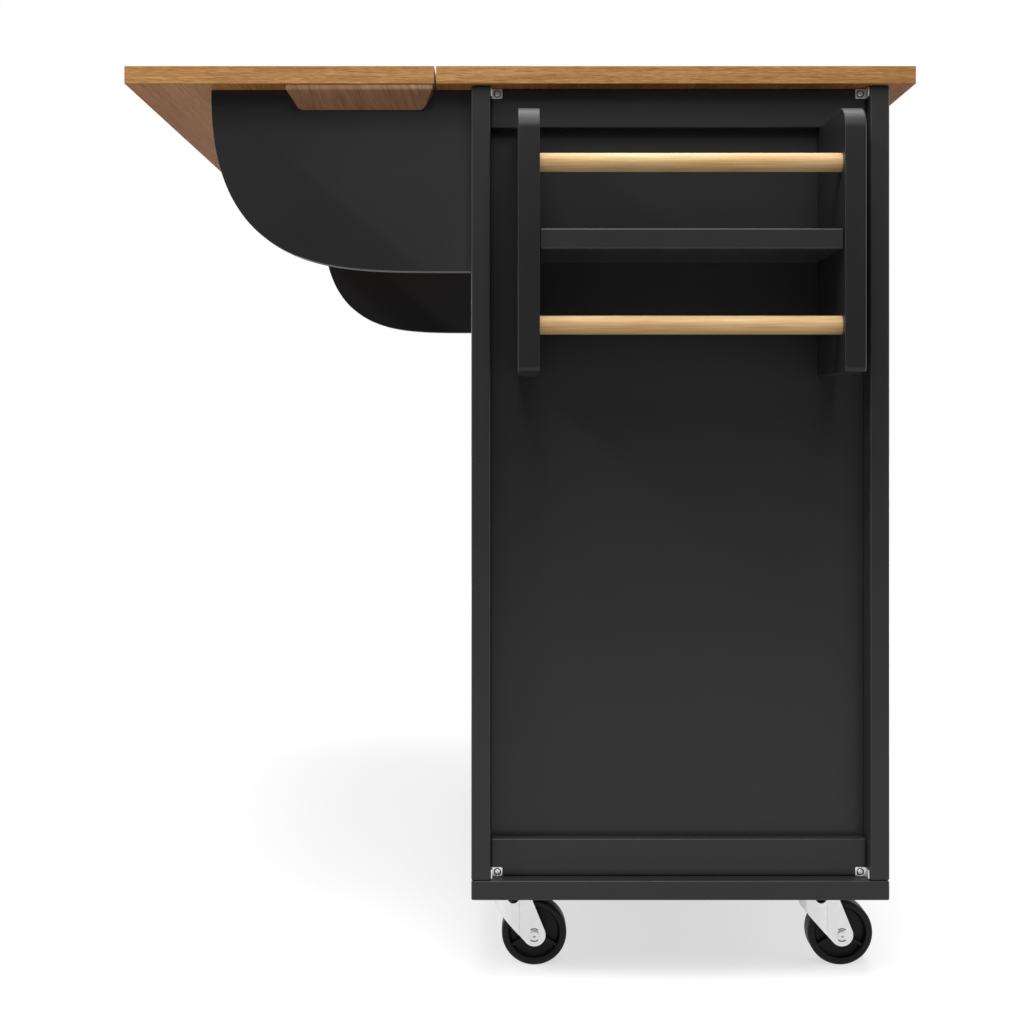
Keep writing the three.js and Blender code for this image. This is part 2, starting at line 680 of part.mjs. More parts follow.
function makeCasters() {
  for (const [end, sx] of ends) {
    for (const [row, y] of Object.entries(caster.rows)) {
      const corner = new THREE.Group();
      corner.position.set(sx * (halfTop - caster.fromEnd), y, 0);
      cabinet.add(corner);
      add(corner, `caster_plate_${row}_${end}`, plateGeometry(), zincPlate());
      const swivel = new THREE.Group();
      corner.add(swivel);
      add(swivel, `caster_fork_${row}_${end}`, forkGeometry(), zincPlate());
      add(swivel, `caster_wheel_${row}_${end}`, wheelGeometry(), blackPlastic(),
        [0, -caster.trail, wheelAxleZ]);
    }
  }
}

// ---------------------------------------------------------------- the island

makeCarcass();
makeInside();
makeRack();

const leaf = movingGroup(0, leafHingeY, undersideZ);
makeWorktops(leaf);
makeStopBlocks(leaf);

makeSupports();
makeDoors();
makeDrawers();
makeCasters();

// The rack reaches past the worktop's left end, so the middle of everything is that far to the left.
const rackPast = panelX + fitGap + rack.reach - halfTop;
cabinet.position.x = rackPast / 2;

const island = new THREE.Group();
island.add(cabinet);

export default island;
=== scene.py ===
import math

import bmesh
import bpy
from mathutils import Matrix, Vector


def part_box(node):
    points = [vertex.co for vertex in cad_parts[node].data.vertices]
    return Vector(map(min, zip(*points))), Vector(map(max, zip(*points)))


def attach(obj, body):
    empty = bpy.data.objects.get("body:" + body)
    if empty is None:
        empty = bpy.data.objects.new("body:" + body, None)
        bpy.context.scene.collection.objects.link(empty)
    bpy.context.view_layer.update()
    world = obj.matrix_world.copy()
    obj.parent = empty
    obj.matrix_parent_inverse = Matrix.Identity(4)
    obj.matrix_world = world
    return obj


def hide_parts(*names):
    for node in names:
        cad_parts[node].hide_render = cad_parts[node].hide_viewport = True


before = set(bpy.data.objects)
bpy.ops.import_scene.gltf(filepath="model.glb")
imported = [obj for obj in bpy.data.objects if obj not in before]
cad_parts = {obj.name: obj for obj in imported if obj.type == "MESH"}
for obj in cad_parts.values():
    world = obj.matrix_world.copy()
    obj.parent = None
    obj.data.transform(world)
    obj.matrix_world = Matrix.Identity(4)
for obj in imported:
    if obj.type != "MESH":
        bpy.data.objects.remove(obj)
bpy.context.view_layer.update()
mm = 0.001
ends = {"left": -1, "right": 1}
rows = ("front", "back")
print("frame loaded,", len(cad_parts), "nodes")


# ---- small helpers

def hexColour(text):
    # sRGB hex to the linear colour that Blender's sockets take
    channels = [int(text[i:i + 2], 16) / 255 for i in (1, 3, 5)]
    linear = [c / 12.92 if c <= 0.04045 else ((c + 0.055) / 1.055) ** 2.4 for c in channels]
    return (*linear, 1.0)


def setInputs(tree, node, inputs):
    # a dictionary names the inputs, and a plain list fills them in order
    pairs = inputs.items() if isinstance(inputs, dict) else enumerate(inputs)
    for key, value in pairs:
        socket = node.inputs[key]
        if isinstance(value, bpy.types.NodeSocket):
            tree.links.new(value, socket)
        else:
            socket.default_value = value


def addNode(tree, kind, inputs=(), output=0, **settings):
    # gives back the output that the next node takes
    node = tree.nodes.new("ShaderNode" + kind)
    for key, value in settings.items():
        setattr(node, key, value)
    setInputs(tree, node, inputs)
    return node.outputs[output]


# a Mix node that mixes colours has them on sockets 6 and 7 and gives the result on 2
ofColours = {"output": 2, "data_type": "RGBA"}


def inObject(tree, scale, offset=(0, 0, 0), **inputs):
    # a noise's inputs in the object's own metres, scaled so that one unit is one pattern repeat
    points = addNode(tree, "TexCoord", output="Object")
    points = addNode(tree, "Mapping", {"Vector": points, "Scale": scale, "Location": offset})
    return {"Vector": points, "Scale": 1.0, **inputs}


def newMaterial(name):
    material = bpy.data.materials.new(name)
    material.use_nodes = True
    tree = material.node_tree
    return material, tree, tree.nodes["Principled BSDF"]


def addMarks(tree, colour, noise, look, part):
    # lays one colour over the rest where the noise is high; gives back the mix, and its mask for a bump
    mask = addNode(tree, "MapRange", (noise, *look[part + "Fade"], 0.0, look[part + "Show"]))
    return addNode(tree, "Mix", {0: mask, 6: colour, 7: hexColour(look[part])}, **ofColours), mask


def dressSurface(tree, surface, look, colour, height, drift=None, lower=0.0, upper=0.0, **more):
    # `height` is what the bump stands on, and `drift` moves the roughness between two offsets
    roughness = look["roughness"]
    if drift:
        roughness = addNode(tree, "MapRange", (drift, 0.0, 1.0, roughness + lower, roughness + upper))
    if "specular" in look:
        more["Specular IOR Level"] = look["specular"]
    bump = {"Height": height, "Strength": look["bump"], "Distance": look["bumpDeep"]}
    setInputs(tree, surface, {
        "Base Color": colour, "Roughness": roughness, "Normal": addNode(tree, "Bump", bump), **more})


# ---- woods

def grainColour(tree, grain, look):
    # the wood's dark tone, then its middle one, then its light one
    ramp = addNode(tree, "ValToRGB", (grain,)).node
    elements = ramp.color_ramp.elements
    elements.new(0.5)
    for element, position, tone in zip(elements, look["tonesAt"], ("dark", "middle", "light")):
        element.position = position
        element.color = hexColour(look[tone])
    return ramp.outputs["Color"]


oakLook = {
    "light": "#c2935f", "middle": "#ad7e4c", "dark": "#96693b", "tonesAt": (0.40, 0.5, 0.59),
    "line": "#6f4722", "lineFade": (0.57, 0.70), "lineShow": 0.75,
    "lineLength": 22 * mm, "lineWidth": 0.7 * mm,
    "fibreLength": 12 * mm, "fibreWidth": 0.9 * mm, "fibreShare": 0.4,
    "streakLength": 60 * mm, "streakWidth": 2.2 * mm, "streakShare": 0.35,
    "figureLength": 420 * mm, "figureWidth": 34 * mm, "figureShare": 0.25,
    "bump": 0.18, "bumpDeep": 0.08 * mm, "roughness": 0.58, "specular": 0.08,
    # the under tint makes the downward faces darker and redder: painted shade
    "underShadeTint": (0.88, 0.73, 0.62), "faceStretch": 2.4,
}


def makeOak(name, along, stretch=1.0, tint=(1.0, 1.0, 1.0)):
    # Oak veneer under clear satin lacquer: broad figure, long streaks, fibres and short dark pore lines.
    # The lacquer evens the gloss, so light spreads softly over it.
    material, tree, surface = newMaterial(name)
    look = oakLook

    def grainNoise(part, detail, distortion=0.0, offset=(0, 0, 0)):
        length, width = look[part + "Length"] * stretch, look[part + "Width"]
        scale = tuple(1 / length if axis == along else 1 / width for axis in "XYZ")
        return addNode(tree, "TexNoise", inObject(
            tree, scale, offset, Detail=detail, Roughness=0.6, Distortion=distortion))

    figure = grainNoise("figure", 2.0, 0.8)
    streak = grainNoise("streak", 4.0, 0.3, (2.3, 5.1, 1.9))
    fibre = grainNoise("fibre", 3.0)
    lines = grainNoise("line", 2.0, 0.0, (3.1, 1.7, 0.4))
    grain = 0.0
    for part, share in ((figure, "figureShare"), (streak, "streakShare"), (fibre, "fibreShare")):
        grain = addNode(tree, "Math", (part, look[share], grain), operation="MULTIPLY_ADD")
    colour = grainColour(tree, grain, look)
    colour, lineMask = addMarks(tree, colour, lines, look, "line")
    colour = addNode(tree, "Mix", {0: 1.0, 6: colour, 7: (*tint, 1.0)}, blend_type="MULTIPLY", **ofColours)
    height = addNode(tree, "Math", (fibre, lineMask), operation="SUBTRACT")
    dressSurface(tree, surface, look, colour, height, fibre, -0.05, 0.07, IOR=1.5)
    return material


walnutLook = {
    "light": "#a47550", "middle": "#8e6342", "dark": "#76502f", "tonesAt": (0.32, 0.5, 0.68),
    "line": "#5b371d", "lineFade": (0.52, 0.70), "lineShow": 0.6,
    "fibreLength": 60 * mm, "fibreWidth": 1.0 * mm, "lineWidth": 1.3 * mm, "lineLength": 120 * mm,
    "across": 12, "lean": 24, "waves": 30, "waveDeep": 9 * mm, "coarse": 0.22,
    "bump": 0.2, "bumpDeep": 0.08 * mm, "roughness": 0.5,
}


def makeWalnut():
    # Walnut block cut across the board and lacquered: fine lines that lean, with a few darker ones.
    material, tree, surface = newMaterial("lacqueredWalnut")
    look = walnutLook
    waves = addNode(tree, "TexNoise", inObject(tree, (look["waves"],) * 3, Detail=2.0), "Color")
    bend = addNode(tree, "VectorMath", {0: waves, "Scale": look["waveDeep"]}, operation="SCALE")
    points = addNode(tree, "VectorMath", (addNode(tree, "TexCoord", output="Object"), bend), operation="ADD")
    leaning = addNode(tree, "Mapping", {"Vector": points, "Rotation": (math.radians(look["lean"]), 0, 0)})

    def leaningPoints(part):
        width, length = look[part + "Width"], look[part + "Length"]
        scale = (1 / width / look["across"], 1 / width, 1 / length)
        return addNode(tree, "Mapping", {"Vector": leaning, "Scale": scale})

    scaled = leaningPoints("fibre")
    fibre = addNode(tree, "TexNoise", {"Vector": scaled, "Scale": 1.0, "Detail": 4.0, "Roughness": 0.6})
    coarse = addNode(tree, "TexNoise", {"Vector": scaled, "Scale": look["coarse"], "Detail": 2.0})
    lines = addNode(tree, "TexNoise", {"Vector": leaningPoints("line"), "Scale": 1.0, "Detail": 2.0})
    grain = addNode(tree, "Mix", {0: 0.5, 6: fibre, 7: coarse}, **ofColours)
    colour = addMarks(tree, grainColour(tree, grain, look), lines, look, "line")[0]
    dressSurface(tree, surface, look, colour, fibre, IOR=1.5)
    return material


beechLook = {
    "light": "#e9cfa4", "middle": "#d6b07b", "dark": "#bd8f5b", "tonesAt": (0.32, 0.5, 0.68),
    "fleck": "#946a3e", "fleckFade": (0.66, 0.78), "fleckShow": 0.5,
    "fibreLength": 55 * mm, "fibreWidth": 1.0 * mm, "fleckLength": 4 * mm, "fleckWidth": 0.45 * mm,
    "bands": (90, 3, 90), "bump": 0.12, "bumpDeep": 0.06 * mm, "roughness": 0.5, "specular": 0.25,
}


def makeBeech():
    # Turned beech rod with clear lacquer: pale, straight grain with short brown flecks.
    material, tree, surface = newMaterial("lacqueredBeech")
    look = beechLook
    fine = (1 / look["fibreWidth"], 1 / look["fibreLength"], 1 / look["fibreWidth"])
    short = (1 / look["fleckWidth"], 1 / look["fleckLength"], 1 / look["fleckWidth"])
    fibre = addNode(tree, "TexNoise", inObject(tree, fine, Detail=4.0, Roughness=0.55))
    bands = addNode(tree, "TexNoise", inObject(tree, look["bands"], Detail=2.0))
    flecks = addNode(tree, "TexNoise", inObject(tree, short))
    colour = grainColour(tree, addNode(tree, "Mix", {0: 0.5, 6: fibre, 7: bands}, **ofColours), look)
    colour = addMarks(tree, colour, flecks, look, "fleck")[0]
    dressSurface(tree, surface, look, colour, fibre, IOR=1.5)
    return material


# ---- paint, metal, plastic

# what all the paints share; clouds and dust in repeats to the metre
paintPattern = {
    "clouds": 7, "dust": 1400, "baseFade": (0.3, 0.7), "baseShow": 1.0,
    "speckFade": (0.72, 0.85), "speckShow": 0.5, "edgeFade": (0.51, 0.56), "bumpDeep": 0.05 * mm,
}


def makePaint(name, look):
    # Sprayed lacquer on board: nearly even colour, a very fine orange peel that softens reflections,
    # and a lighter grey on the rounded edges, partly thinner film and partly a painted edge highlight.
    material, tree, surface = newMaterial(name)
    look = {**paintPattern, **look}
    peel = addNode(tree, "TexNoise", inObject(tree, (1 / look["peel"],) * 3, Detail=2.0, Roughness=0.4))
    cloud = addNode(tree, "TexNoise", inObject(tree, (look["clouds"],) * 3, Detail=4.0, Roughness=0.5))
    dust = addNode(tree, "TexNoise", inObject(tree, (look["dust"],) * 3, Detail=1.0))
    # the edge mark lays a lighter grey on rounded edges: partly thinner film, partly painted highlight
    edge = addNode(tree, "NewGeometry", output="Pointiness")
    colour = hexColour(look["deep"])
    for part, noise in (("base", cloud), ("speck", dust), ("edge", edge)):
        colour = addMarks(tree, colour, noise, look, part)[0]
    dressSurface(tree, surface, look, colour, peel, cloud, -0.04, 0.04, IOR=1.5)
    return material


# each paint's edge colour is the lighter grey on rounded edges: partly thinner film, partly painted highlight
blackPaintLook = {
    "base": "#1e1e1f", "deep": "#1b1b1c", "speck": "#242425", "edge": "#4a4a4b", "edgeShow": 0.6,
    "peel": 1.6 * mm, "bump": 0.10, "roughness": 0.32, "specular": 0.19,
}
# the brackets' sawn edges drink the paint and stay dull
paintedEdgeLook = {
    **blackPaintLook, "edgeShow": 0.4,
    "peel": 0.8 * mm, "bump": 0.3, "roughness": 0.56, "specular": 0.11,
}
innerFoilLook = {
    "base": "#302e2c", "deep": "#2b2927", "speck": "#383634", "edge": "#423f3d", "edgeShow": 0.3,
    "peel": 0.9 * mm, "bump": 0.3, "roughness": 0.62, "specular": 0.2,
}
powderCoatLook = {
    "base": "#1d1d1f", "deep": "#19191b", "speck": "#252527", "edge": "#434346", "edgeShow": 0.6,
    "peel": 0.7 * mm, "bump": 0.4, "roughness": 0.42, "specular": 0.4,
}
zincLook = {
    "base": "#e8e8e8", "cloud": "#e0e0e1", "scuff": "#cbcccd", "scuffFade": (0.62, 0.75), "scuffShow": 0.5,
    "rollLine": 0.22 * mm, "rollRepeats": 55, "clouds": 160, "scuffs": (900, 260, 500),
    "bump": 0.08, "bumpDeep": 0.02 * mm, "roughness": 0.34, "metallic": 0.75,
}


def makeZinc():
    # Bright zinc plate on pressed steel: pale grey metal, faint rolling lines under the plate, small scuffs.
    material, tree, surface = newMaterial("brightZincPlate")
    look = zincLook
    rolled = (1 / look["rollLine"], 1 / look["rollLine"], look["rollRepeats"])
    lines = addNode(tree, "TexNoise", inObject(tree, rolled, Detail=2.0))
    cloud = addNode(tree, "TexNoise", inObject(tree, (look["clouds"],) * 3, Detail=3.0))
    scuff = addNode(tree, "TexNoise", inObject(tree, look["scuffs"], Detail=4.0, Distortion=1.2))
    colour = addNode(tree, "Mix", {
        0: cloud, 6: hexColour(look["base"]), 7: hexColour(look["cloud"])}, **ofColours)
    colour = addMarks(tree, colour, scuff, look, "scuff")[0]
    dressSurface(tree, surface, look, colour, lines, cloud, -0.05, 0.07, Metallic=look["metallic"])
    return material


wheelPlasticLook = {
    "base": "#101011", "worn": "#1a1a1b", "wornFade": (0.5, 0.75), "wornShow": 0.8,
    "skins": 1100, "scuffs": (130, 420, 420), "bump": 0.25, "bumpDeep": 0.04 * mm,
    "roughness": 0.45, "specular": 0.2,
}


def makeWheelPlastic():
    # Moulded polypropylene wheel: deep black, a dull skin with a fine texture, scuffed where it rolls.
    material, tree, surface = newMaterial("blackPolypropylene")
    look = wheelPlasticLook
    skin = addNode(tree, "TexNoise", inObject(tree, (look["skins"],) * 3, Detail=2.0))
    scuff = addNode(tree, "TexNoise", inObject(tree, look["scuffs"], Detail=4.0))
    colour = addMarks(tree, hexColour(look["base"]), scuff, look, "worn")[0]
    dressSurface(tree, surface, look, colour, skin, scuff, -0.05, 0.1, IOR=1.49)
    return material


oakTop = makeOak("lacqueredOakFace", "X", oakLook["faceStretch"])
oakEnd = makeOak("lacqueredOakEdgeBand", "Y")
# the face oak again, tinted darker and redder for the downward faces: painted shade under the top
oakUnderShaded = makeOak("oakVeneerPaintedUnderShade", "X", oakLook["faceStretch"], oakLook["underShadeTint"])
walnut = makeWalnut()
beech = makeBeech()
blackPaint = makePaint("satinBlackLacquer", blackPaintLook)
paintedEdge = makePaint("dullBlackPaintedEdge", paintedEdgeLook)
innerFoil = makePaint("mattBlackFoil", innerFoilLook)
powderCoat = makePaint("blackPowderCoat", powderCoatLook)
zinc = makeZinc()
wheelPlastic = makeWheelPlastic()
print("materials made")


# ---- mesh helpers

def meshObject(name, bm):
    mesh = bpy.data.meshes.new(name)
    bmesh.ops.recalc_face_normals(bm, faces=bm.faces)
    bm.to_mesh(mesh)
    bm.free()
    piece = bpy.data.objects.new(name, mesh)
    bpy.context.scene.collection.objects.link(piece)
    return piece


def boxObject(name, *boxes):
    # each box is its low and its high corner
    bm = bmesh.new()
    for low, high in boxes:
        made = bmesh.ops.create_cube(bm, size=1.0)["verts"]
        bmesh.ops.scale(bm, vec=Vector(high) - Vector(low), verts=made)
        bmesh.ops.translate(bm, vec=(Vector(high) + Vector(low)) / 2, verts=made)
    return meshObject(name, bm)


def addPrism(bm, outline, low, high, axis):
    # outline is in the other two axes, in X, Y, Z order
    def place(u, v, w):
        return {"X": (w, u, v), "Y": (u, w, v), "Z": (u, v, w)}[axis]
    rings = [[bm.verts.new(place(u, v, w)) for u, v in outline] for w in (low, high)]
    bm.faces.new(rings[0])
    bm.faces.new(rings[1][::-1])
    count = len(outline)
    for i in range(count):
        j = (i + 1) % count
        bm.faces.new((rings[0][i], rings[1][i], rings[1][j], rings[0][j]))


def prismObject(name, outline, low, high, axis):
    bm = bmesh.new()
    addPrism(bm, outline, low, high, axis)
    return meshObject(name, bm)


def addLathe(bm, profile, segments=64, at=(0, 0, 0)):
    # profile is [(radius, height), ...] about Z; points with no radius close on the axis
    turns = [2 * math.pi * i / segments for i in range(segments)]
    rings = []
    for radius, height in profile:
        spots = [(radius * math.cos(t), radius * math.sin(t), height) for t in turns]
        if radius < 1e-7:
            spots = [(0, 0, height)]
        rings.append([bm.verts.new(Vector(at) + Vector(spot)) for spot in spots])
    for lower, upper in zip(rings, rings[1:]):
        for i in range(segments):
            j = (i + 1) % segments
            corners = [lower[i % len(lower)], lower[j % len(lower)],
                       upper[j % len(upper)], upper[i % len(upper)]]
            corners = list(dict.fromkeys(corners))
            if len(corners) > 2:
                bm.faces.new(corners)


def latheObject(name, profile, segments=64, turn=(0, "X"), at=(0, 0, 0)):
    # `turn` is degrees and axis; a profile that ends where it starts makes a ring
    bm = bmesh.new()
    addLathe(bm, profile, segments)
    if profile[0] == profile[-1]:
        bmesh.ops.remove_doubles(bm, verts=bm.verts, dist=1e-6)
    piece = meshObject(name, bm)
    piece.data.transform(Matrix.Translation(at) @ Matrix.Rotation(math.radians(turn[0]), 4, turn[1]))
    return piece


def arc(centre, radius, fromDegrees, toDegrees, steps):
    turns = [math.radians(fromDegrees + (toDegrees - fromDegrees) * i / steps) for i in range(steps + 1)]
    return [(centre[0] + radius * math.cos(t), centre[1] + radius * math.sin(t)) for t in turns]


def circle(centre, radius, count):
    return arc(centre, radius, 0, 360 - 360 / count, count - 1)


def roundedOutline(corners, steps=8):
    # corners are (x, y, radius); each is replaced by an arc that touches both its sides
    outline = []
    count = len(corners)
    for i, (x, y, radius) in enumerate(corners):
        if radius <= 0:
            outline.append((x, y))
            continue
        here = Vector((x, y))
        back = (Vector(corners[i - 1][:2]) - here).normalized()
        ahead = (Vector(corners[(i + 1) % count][:2]) - here).normalized()
        half = back.angle(ahead) / 2
        centre = here + (back + ahead).normalized() * radius / math.sin(half)
        start = here + back * radius / math.tan(half) - centre
        end = here + ahead * radius / math.tan(half) - centre
        sweep = start.angle_signed(end)
        for k in range(steps + 1):
            turned = Matrix.Rotation(-sweep * k / steps, 2) @ start
            outline.append((centre.x + turned.x, centre.y + turned.y))
    return outline


def cutAway(piece, cutter, operation="DIFFERENCE"):
    # a boolean, applied at once, so that the bevel afterwards runs round the cut too
    modifier = piece.modifiers.new("cut", "BOOLEAN")
    modifier.operation = operation
    modifier.solver = "EXACT"
    modifier.object = cutter
    bpy.context.view_layer.update()
    evaluated = piece.evaluated_get(bpy.context.evaluated_depsgraph_get())
    mesh = bpy.data.meshes.new_from_object(evaluated)
    piece.modifiers.clear()
    piece.data = mesh
    bpy.data.objects.remove(cutter)


def softenEdges(piece, radius, segments=3, angle=32):
    piece.data.polygons.foreach_set("use_smooth", [True] * len(piece.data.polygons))
    bevel = piece.modifiers.new("softEdges", "BEVEL")
    bevel.width = radius
    bevel.segments = segments
    bevel.limit_method = "ANGLE"
    bevel.angle_limit = math.radians(angle)
    bevel.harden_normals = True
    bevel.use_clamp_overlap = True
    return piece


def finishPiece(piece, material, body, nodes=()):
    # one material or a list of them; the piece then rides on its body and its CAD nodes are hidden
    materials = material if isinstance(material, (list, tuple)) else [material]
    piece.data.materials.clear()
    for one in materials:
        piece.data.materials.append(one)
    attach(piece, body)
    if nodes:
        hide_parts(*nodes)


def copyTo(piece, name, offset):
    copy = piece.copy()
    copy.data = piece.data.copy()
    copy.name = name
    copy.data.transform(Matrix.Translation(offset))
    bpy.context.scene.collection.objects.link(copy)
    return copy


def copyNode(node, material, body, radius, segments=2, angle=40):
    # the CAD solid's own shape, cleaned of its triangles, with softened edges
    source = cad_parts[node]
    bm = bmesh.new()
    bm.from_mesh(source.data)
    bmesh.ops.remove_doubles(bm, verts=bm.verts, dist=1e-6)
    bmesh.ops.dissolve_limit(bm, angle_limit=math.radians(0.6), verts=bm.verts, edges=bm.edges)
    piece = softenEdges(meshObject(node + "_finished", bm), radius, segments, angle)
    finishPiece(piece, material, body, [node])


# ---- plain boards: posts, rails, panels, shelves

boardEdges = {"frame": 1.8 * mm, "thin": 0.5 * mm, "inside": 0.3 * mm}
postGroove = {"slack": 0.3 * mm, "past": 10 * mm, "beside": 40 * mm}
shelfPin = {"radius": 2.5 * mm, "out": 9 * mm, "inset": 60 * mm, "chamfer": 0.4 * mm, "below": 0.1 * mm}


def makeBoard(node, body, radius):
    piece = softenEdges(boxObject(node + "_finished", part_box(node)), radius, 4)
    finishPiece(piece, blackPaint, body, [node])


def makeFrameBoards():
    frameEdge, thinEdge = boardEdges["frame"], boardEdges["thin"]
    for node in ("base_board", "front_rail", "drawer_divider", "rack_shelf"):
        makeBoard(node, "cabinet", frameEdge)
    makeBoard("back_panel", "cabinet", thinEdge)
    for end in ends:
        for kind in ("post_front", "end_rail_upper", "end_rail_lower"):
            makeBoard(f"{kind}_{end}", "cabinet", frameEdge)
        makeBoard(f"end_panel_{end}", "cabinet", thinEdge)
        makeBoard(f"drawer_front_{end}", f"drawer_{end}", frameEdge)


def makeBackPosts():
    # the back panel's edge sits in a groove down each back post
    panelLow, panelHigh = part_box("back_panel")
    slack, past = postGroove["slack"], postGroove["past"]
    for end, side in ends.items():
        node = f"post_back_{end}"
        low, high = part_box(node)
        post = boxObject(node + "_finished", (low, high))
        middle = (low.x + high.x) / 2
        grooveX = sorted((panelLow.x if side < 0 else panelHigh.x, middle - side * postGroove["beside"]))
        cutAway(post, boxObject("groove", (
            (grooveX[0] - slack, panelLow.y - slack, low.z - past),
            (grooveX[1] + slack, panelHigh.y + slack, high.z + past))))
        softenEdges(post, boardEdges["frame"], 4)
        finishPiece(post, blackPaint, "cabinet", [node])


def makeInside():
    copyNode("drawer_deck", blackPaint, "cabinet", boardEdges["inside"])
    copyNode("cabinet_shelf", innerFoil, "cabinet", boardEdges["inside"])
    # four steel pins hold the shelf up
    low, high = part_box("cabinet_shelf")
    radius, out, chamfer = shelfPin["radius"], shelfPin["out"], shelfPin["chamfer"]
    profile = [(0, 0), (radius - chamfer, 0), (radius, chamfer), (radius, out), (0, out)]
    for end, side in ends.items():
        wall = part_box(f"end_panel_{end}")[0 if side > 0 else 1].x
        for row, y in (("front", low.y + shelfPin["inset"]), ("back", high.y - shelfPin["inset"])):
            at = (wall - side * out, y, low.z - radius - shelfPin["below"])
            pin = latheObject(f"shelf_pin_{row}_{end}", profile, 24, (90 * side, "Y"), at)
            finishPiece(softenEdges(pin, 0.1 * mm, 1), zinc, "cabinet")


makeFrameBoards()
makeBackPosts()
makeInside()
print("cabinet boards made")


# ---- worktop, leaf, stop blocks

topBoard = {"round": 1.5 * mm, "hingeRadius": 3.1 * mm, "hingeHalf": 160 * mm}


def makeTopBoard(node, body):
    # the faces get oak veneer, the ends an edge band and the underside a darker, redder copy: painted shade
    piece = boxObject(node + "_finished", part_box(node))
    hingeLow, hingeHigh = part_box("leaf_hinge_fixed")
    middleX = (hingeLow.x + hingeHigh.x) / 2
    pinY = (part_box("worktop")[1].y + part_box("drop_leaf")[0].y) / 2
    knuckle = circle((pinY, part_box("worktop")[0].z), topBoard["hingeRadius"], 24)
    cutAway(piece, prismObject("knuckle", knuckle, middleX - topBoard["hingeHalf"],
                               middleX + topBoard["hingeHalf"], "X"))
    softenEdges(piece, topBoard["round"], 5)
    finishPiece(piece, [oakTop, oakEnd, oakUnderShaded], body, [node])
    for face in piece.data.polygons:
        face.material_index = 1 if abs(face.normal.x) > 0.9 else 2 if face.normal.z < -0.9 else 0


makeTopBoard("worktop", "cabinet")
makeTopBoard("drop_leaf", "leaf")
for end in ends:
    copyNode(f"stop_block_{end}", walnut, "leaf", 0.7 * mm, 3, 25)
print("worktop and leaf made")


# ---- rack: two shaped sides, shelf, two rails

rack = {
    "nose": 22 * mm, "toe": 5 * mm, "heel": 1.5 * mm, "edge": 1.2 * mm, "socketSlack": 0.3 * mm,
    "railChamfer": 1 * mm, "railEdge": 0.3 * mm,
}


def makeRackSide(node):
    low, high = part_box(node)
    outline = roundedOutline([
        (high.x, low.z, rack["heel"]), (high.x, high.z, rack["heel"]),
        (low.x, high.z, rack["nose"]), (low.x, low.z, rack["toe"])], 16)
    side = prismObject(node + "_finished", outline, low.y, high.y, "Y")
    for rail in ("rack_rail_upper", "rack_rail_lower"):
        railLow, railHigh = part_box(rail)
        centre = ((railLow.x + railHigh.x) / 2, (railLow.z + railHigh.z) / 2)
        radius = (railHigh.z - railLow.z) / 2 + rack["socketSlack"]
        cutAway(side, prismObject("socket", circle(centre, radius, 48), railLow.y, railHigh.y, "Y"))
    softenEdges(side, rack["edge"], 4)
    finishPiece(side, blackPaint, "cabinet", [node])


def makeRail(node):
    low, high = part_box(node)
    radius, length, chamfer = (high.z - low.z) / 2, high.y - low.y, rack["railChamfer"]
    profile = [(0, 0), (radius - chamfer, 0), (radius, chamfer), (radius, length - chamfer),
               (radius - chamfer, length), (0, length)]
    at = ((low.x + high.x) / 2, low.y, (low.z + high.z) / 2)
    rail = latheObject(node + "_finished", profile, 64, (-90, "X"), at)
    finishPiece(softenEdges(rail, rack["railEdge"], 2, 40), beech, "cabinet", [node])


for node in ("rack_side_front", "rack_side_back"):
    makeRackSide(node)
for node in ("rack_rail_upper", "rack_rail_lower"):
    makeRail(node)
print("rack made")


# ---- swing-out support brackets

# the exponents shape the curve along the bracket's reach and down its drop
supportShape = {"across": 4.1, "down": 2.4, "steps": 96, "edge": 0.3 * mm, "postGap": 0.5 * mm}


def makeSupport(end):
    node = f"support_bracket_{end}"
    low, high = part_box(node)
    low.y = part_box(f"post_back_{end}")[1].y + supportShape["postGap"]
    reach, drop = high.y - low.y, high.z - low.z
    across, down = 2 / supportShape["across"], 2 / supportShape["down"]
    steps = supportShape["steps"]
    turns = [math.pi / 2 * i / steps for i in range(steps)]
    curve = [(low.y + reach * math.cos(t) ** across, high.z - drop * math.sin(t) ** down) for t in turns]
    outline = [(low.y, low.z), (low.y, high.z), *curve]
    piece = prismObject(node + "_finished", outline, low.x, high.x, "X")
    softenEdges(piece, supportShape["edge"], 4, 35)
    finishPiece(piece, [blackPaint, paintedEdge], f"bracket_{end}", [node])
    for face in piece.data.polygons:
        face.material_index = 1 if abs(face.normal.x) < 0.5 else 0


for end in ends:
    makeSupport(end)
print("support brackets made")


# ---- screws

# all but the bevel are in shares of the head's radius
screwShape = {"height": 0.55, "rim": 0.35, "recessWide": 0.2, "recessLong": 0.62, "recessFrom": 0.45,
              "sunk": 0.2 * mm, "edge": 0.08 * mm, "turn": 0.4}


def addScrew(name, at, facing, headRadius, body, material, dome=1.0):
    # pan head with a cross recess; `facing` is the way the head looks
    height, rim, sunk = headRadius * screwShape["height"] * dome, screwShape["rim"], screwShape["sunk"]
    profile = [(0, -sunk), (headRadius, -sunk), (headRadius, height * rim)]
    profile += [(headRadius * math.cos(t), height * (rim + (1 - rim) * math.sin(t)))
                for t in (math.radians(a) for a in (18, 36, 54, 72))]
    screw = latheObject(name, profile + [(0, height)], 32)
    slotWidth, slotLength = headRadius * screwShape["recessWide"], headRadius * screwShape["recessLong"]
    floor = height * screwShape["recessFrom"]
    for wide, long in ((slotLength, slotWidth), (slotWidth, slotLength)):
        cutAway(screw, boxObject("cross", ((-wide, -long, floor), (wide, long, height * 2))))
    turn = Vector((0, 0, 1)).rotation_difference(Vector(facing)).to_matrix().to_4x4()
    screw.data.transform(Matrix.Translation(at) @ turn @ Matrix.Rotation(screwShape["turn"], 4, "Z"))
    finishPiece(softenEdges(screw, screwShape["edge"], 1, 35), material, body)


# ---- zinc angles between the end rails and the posts

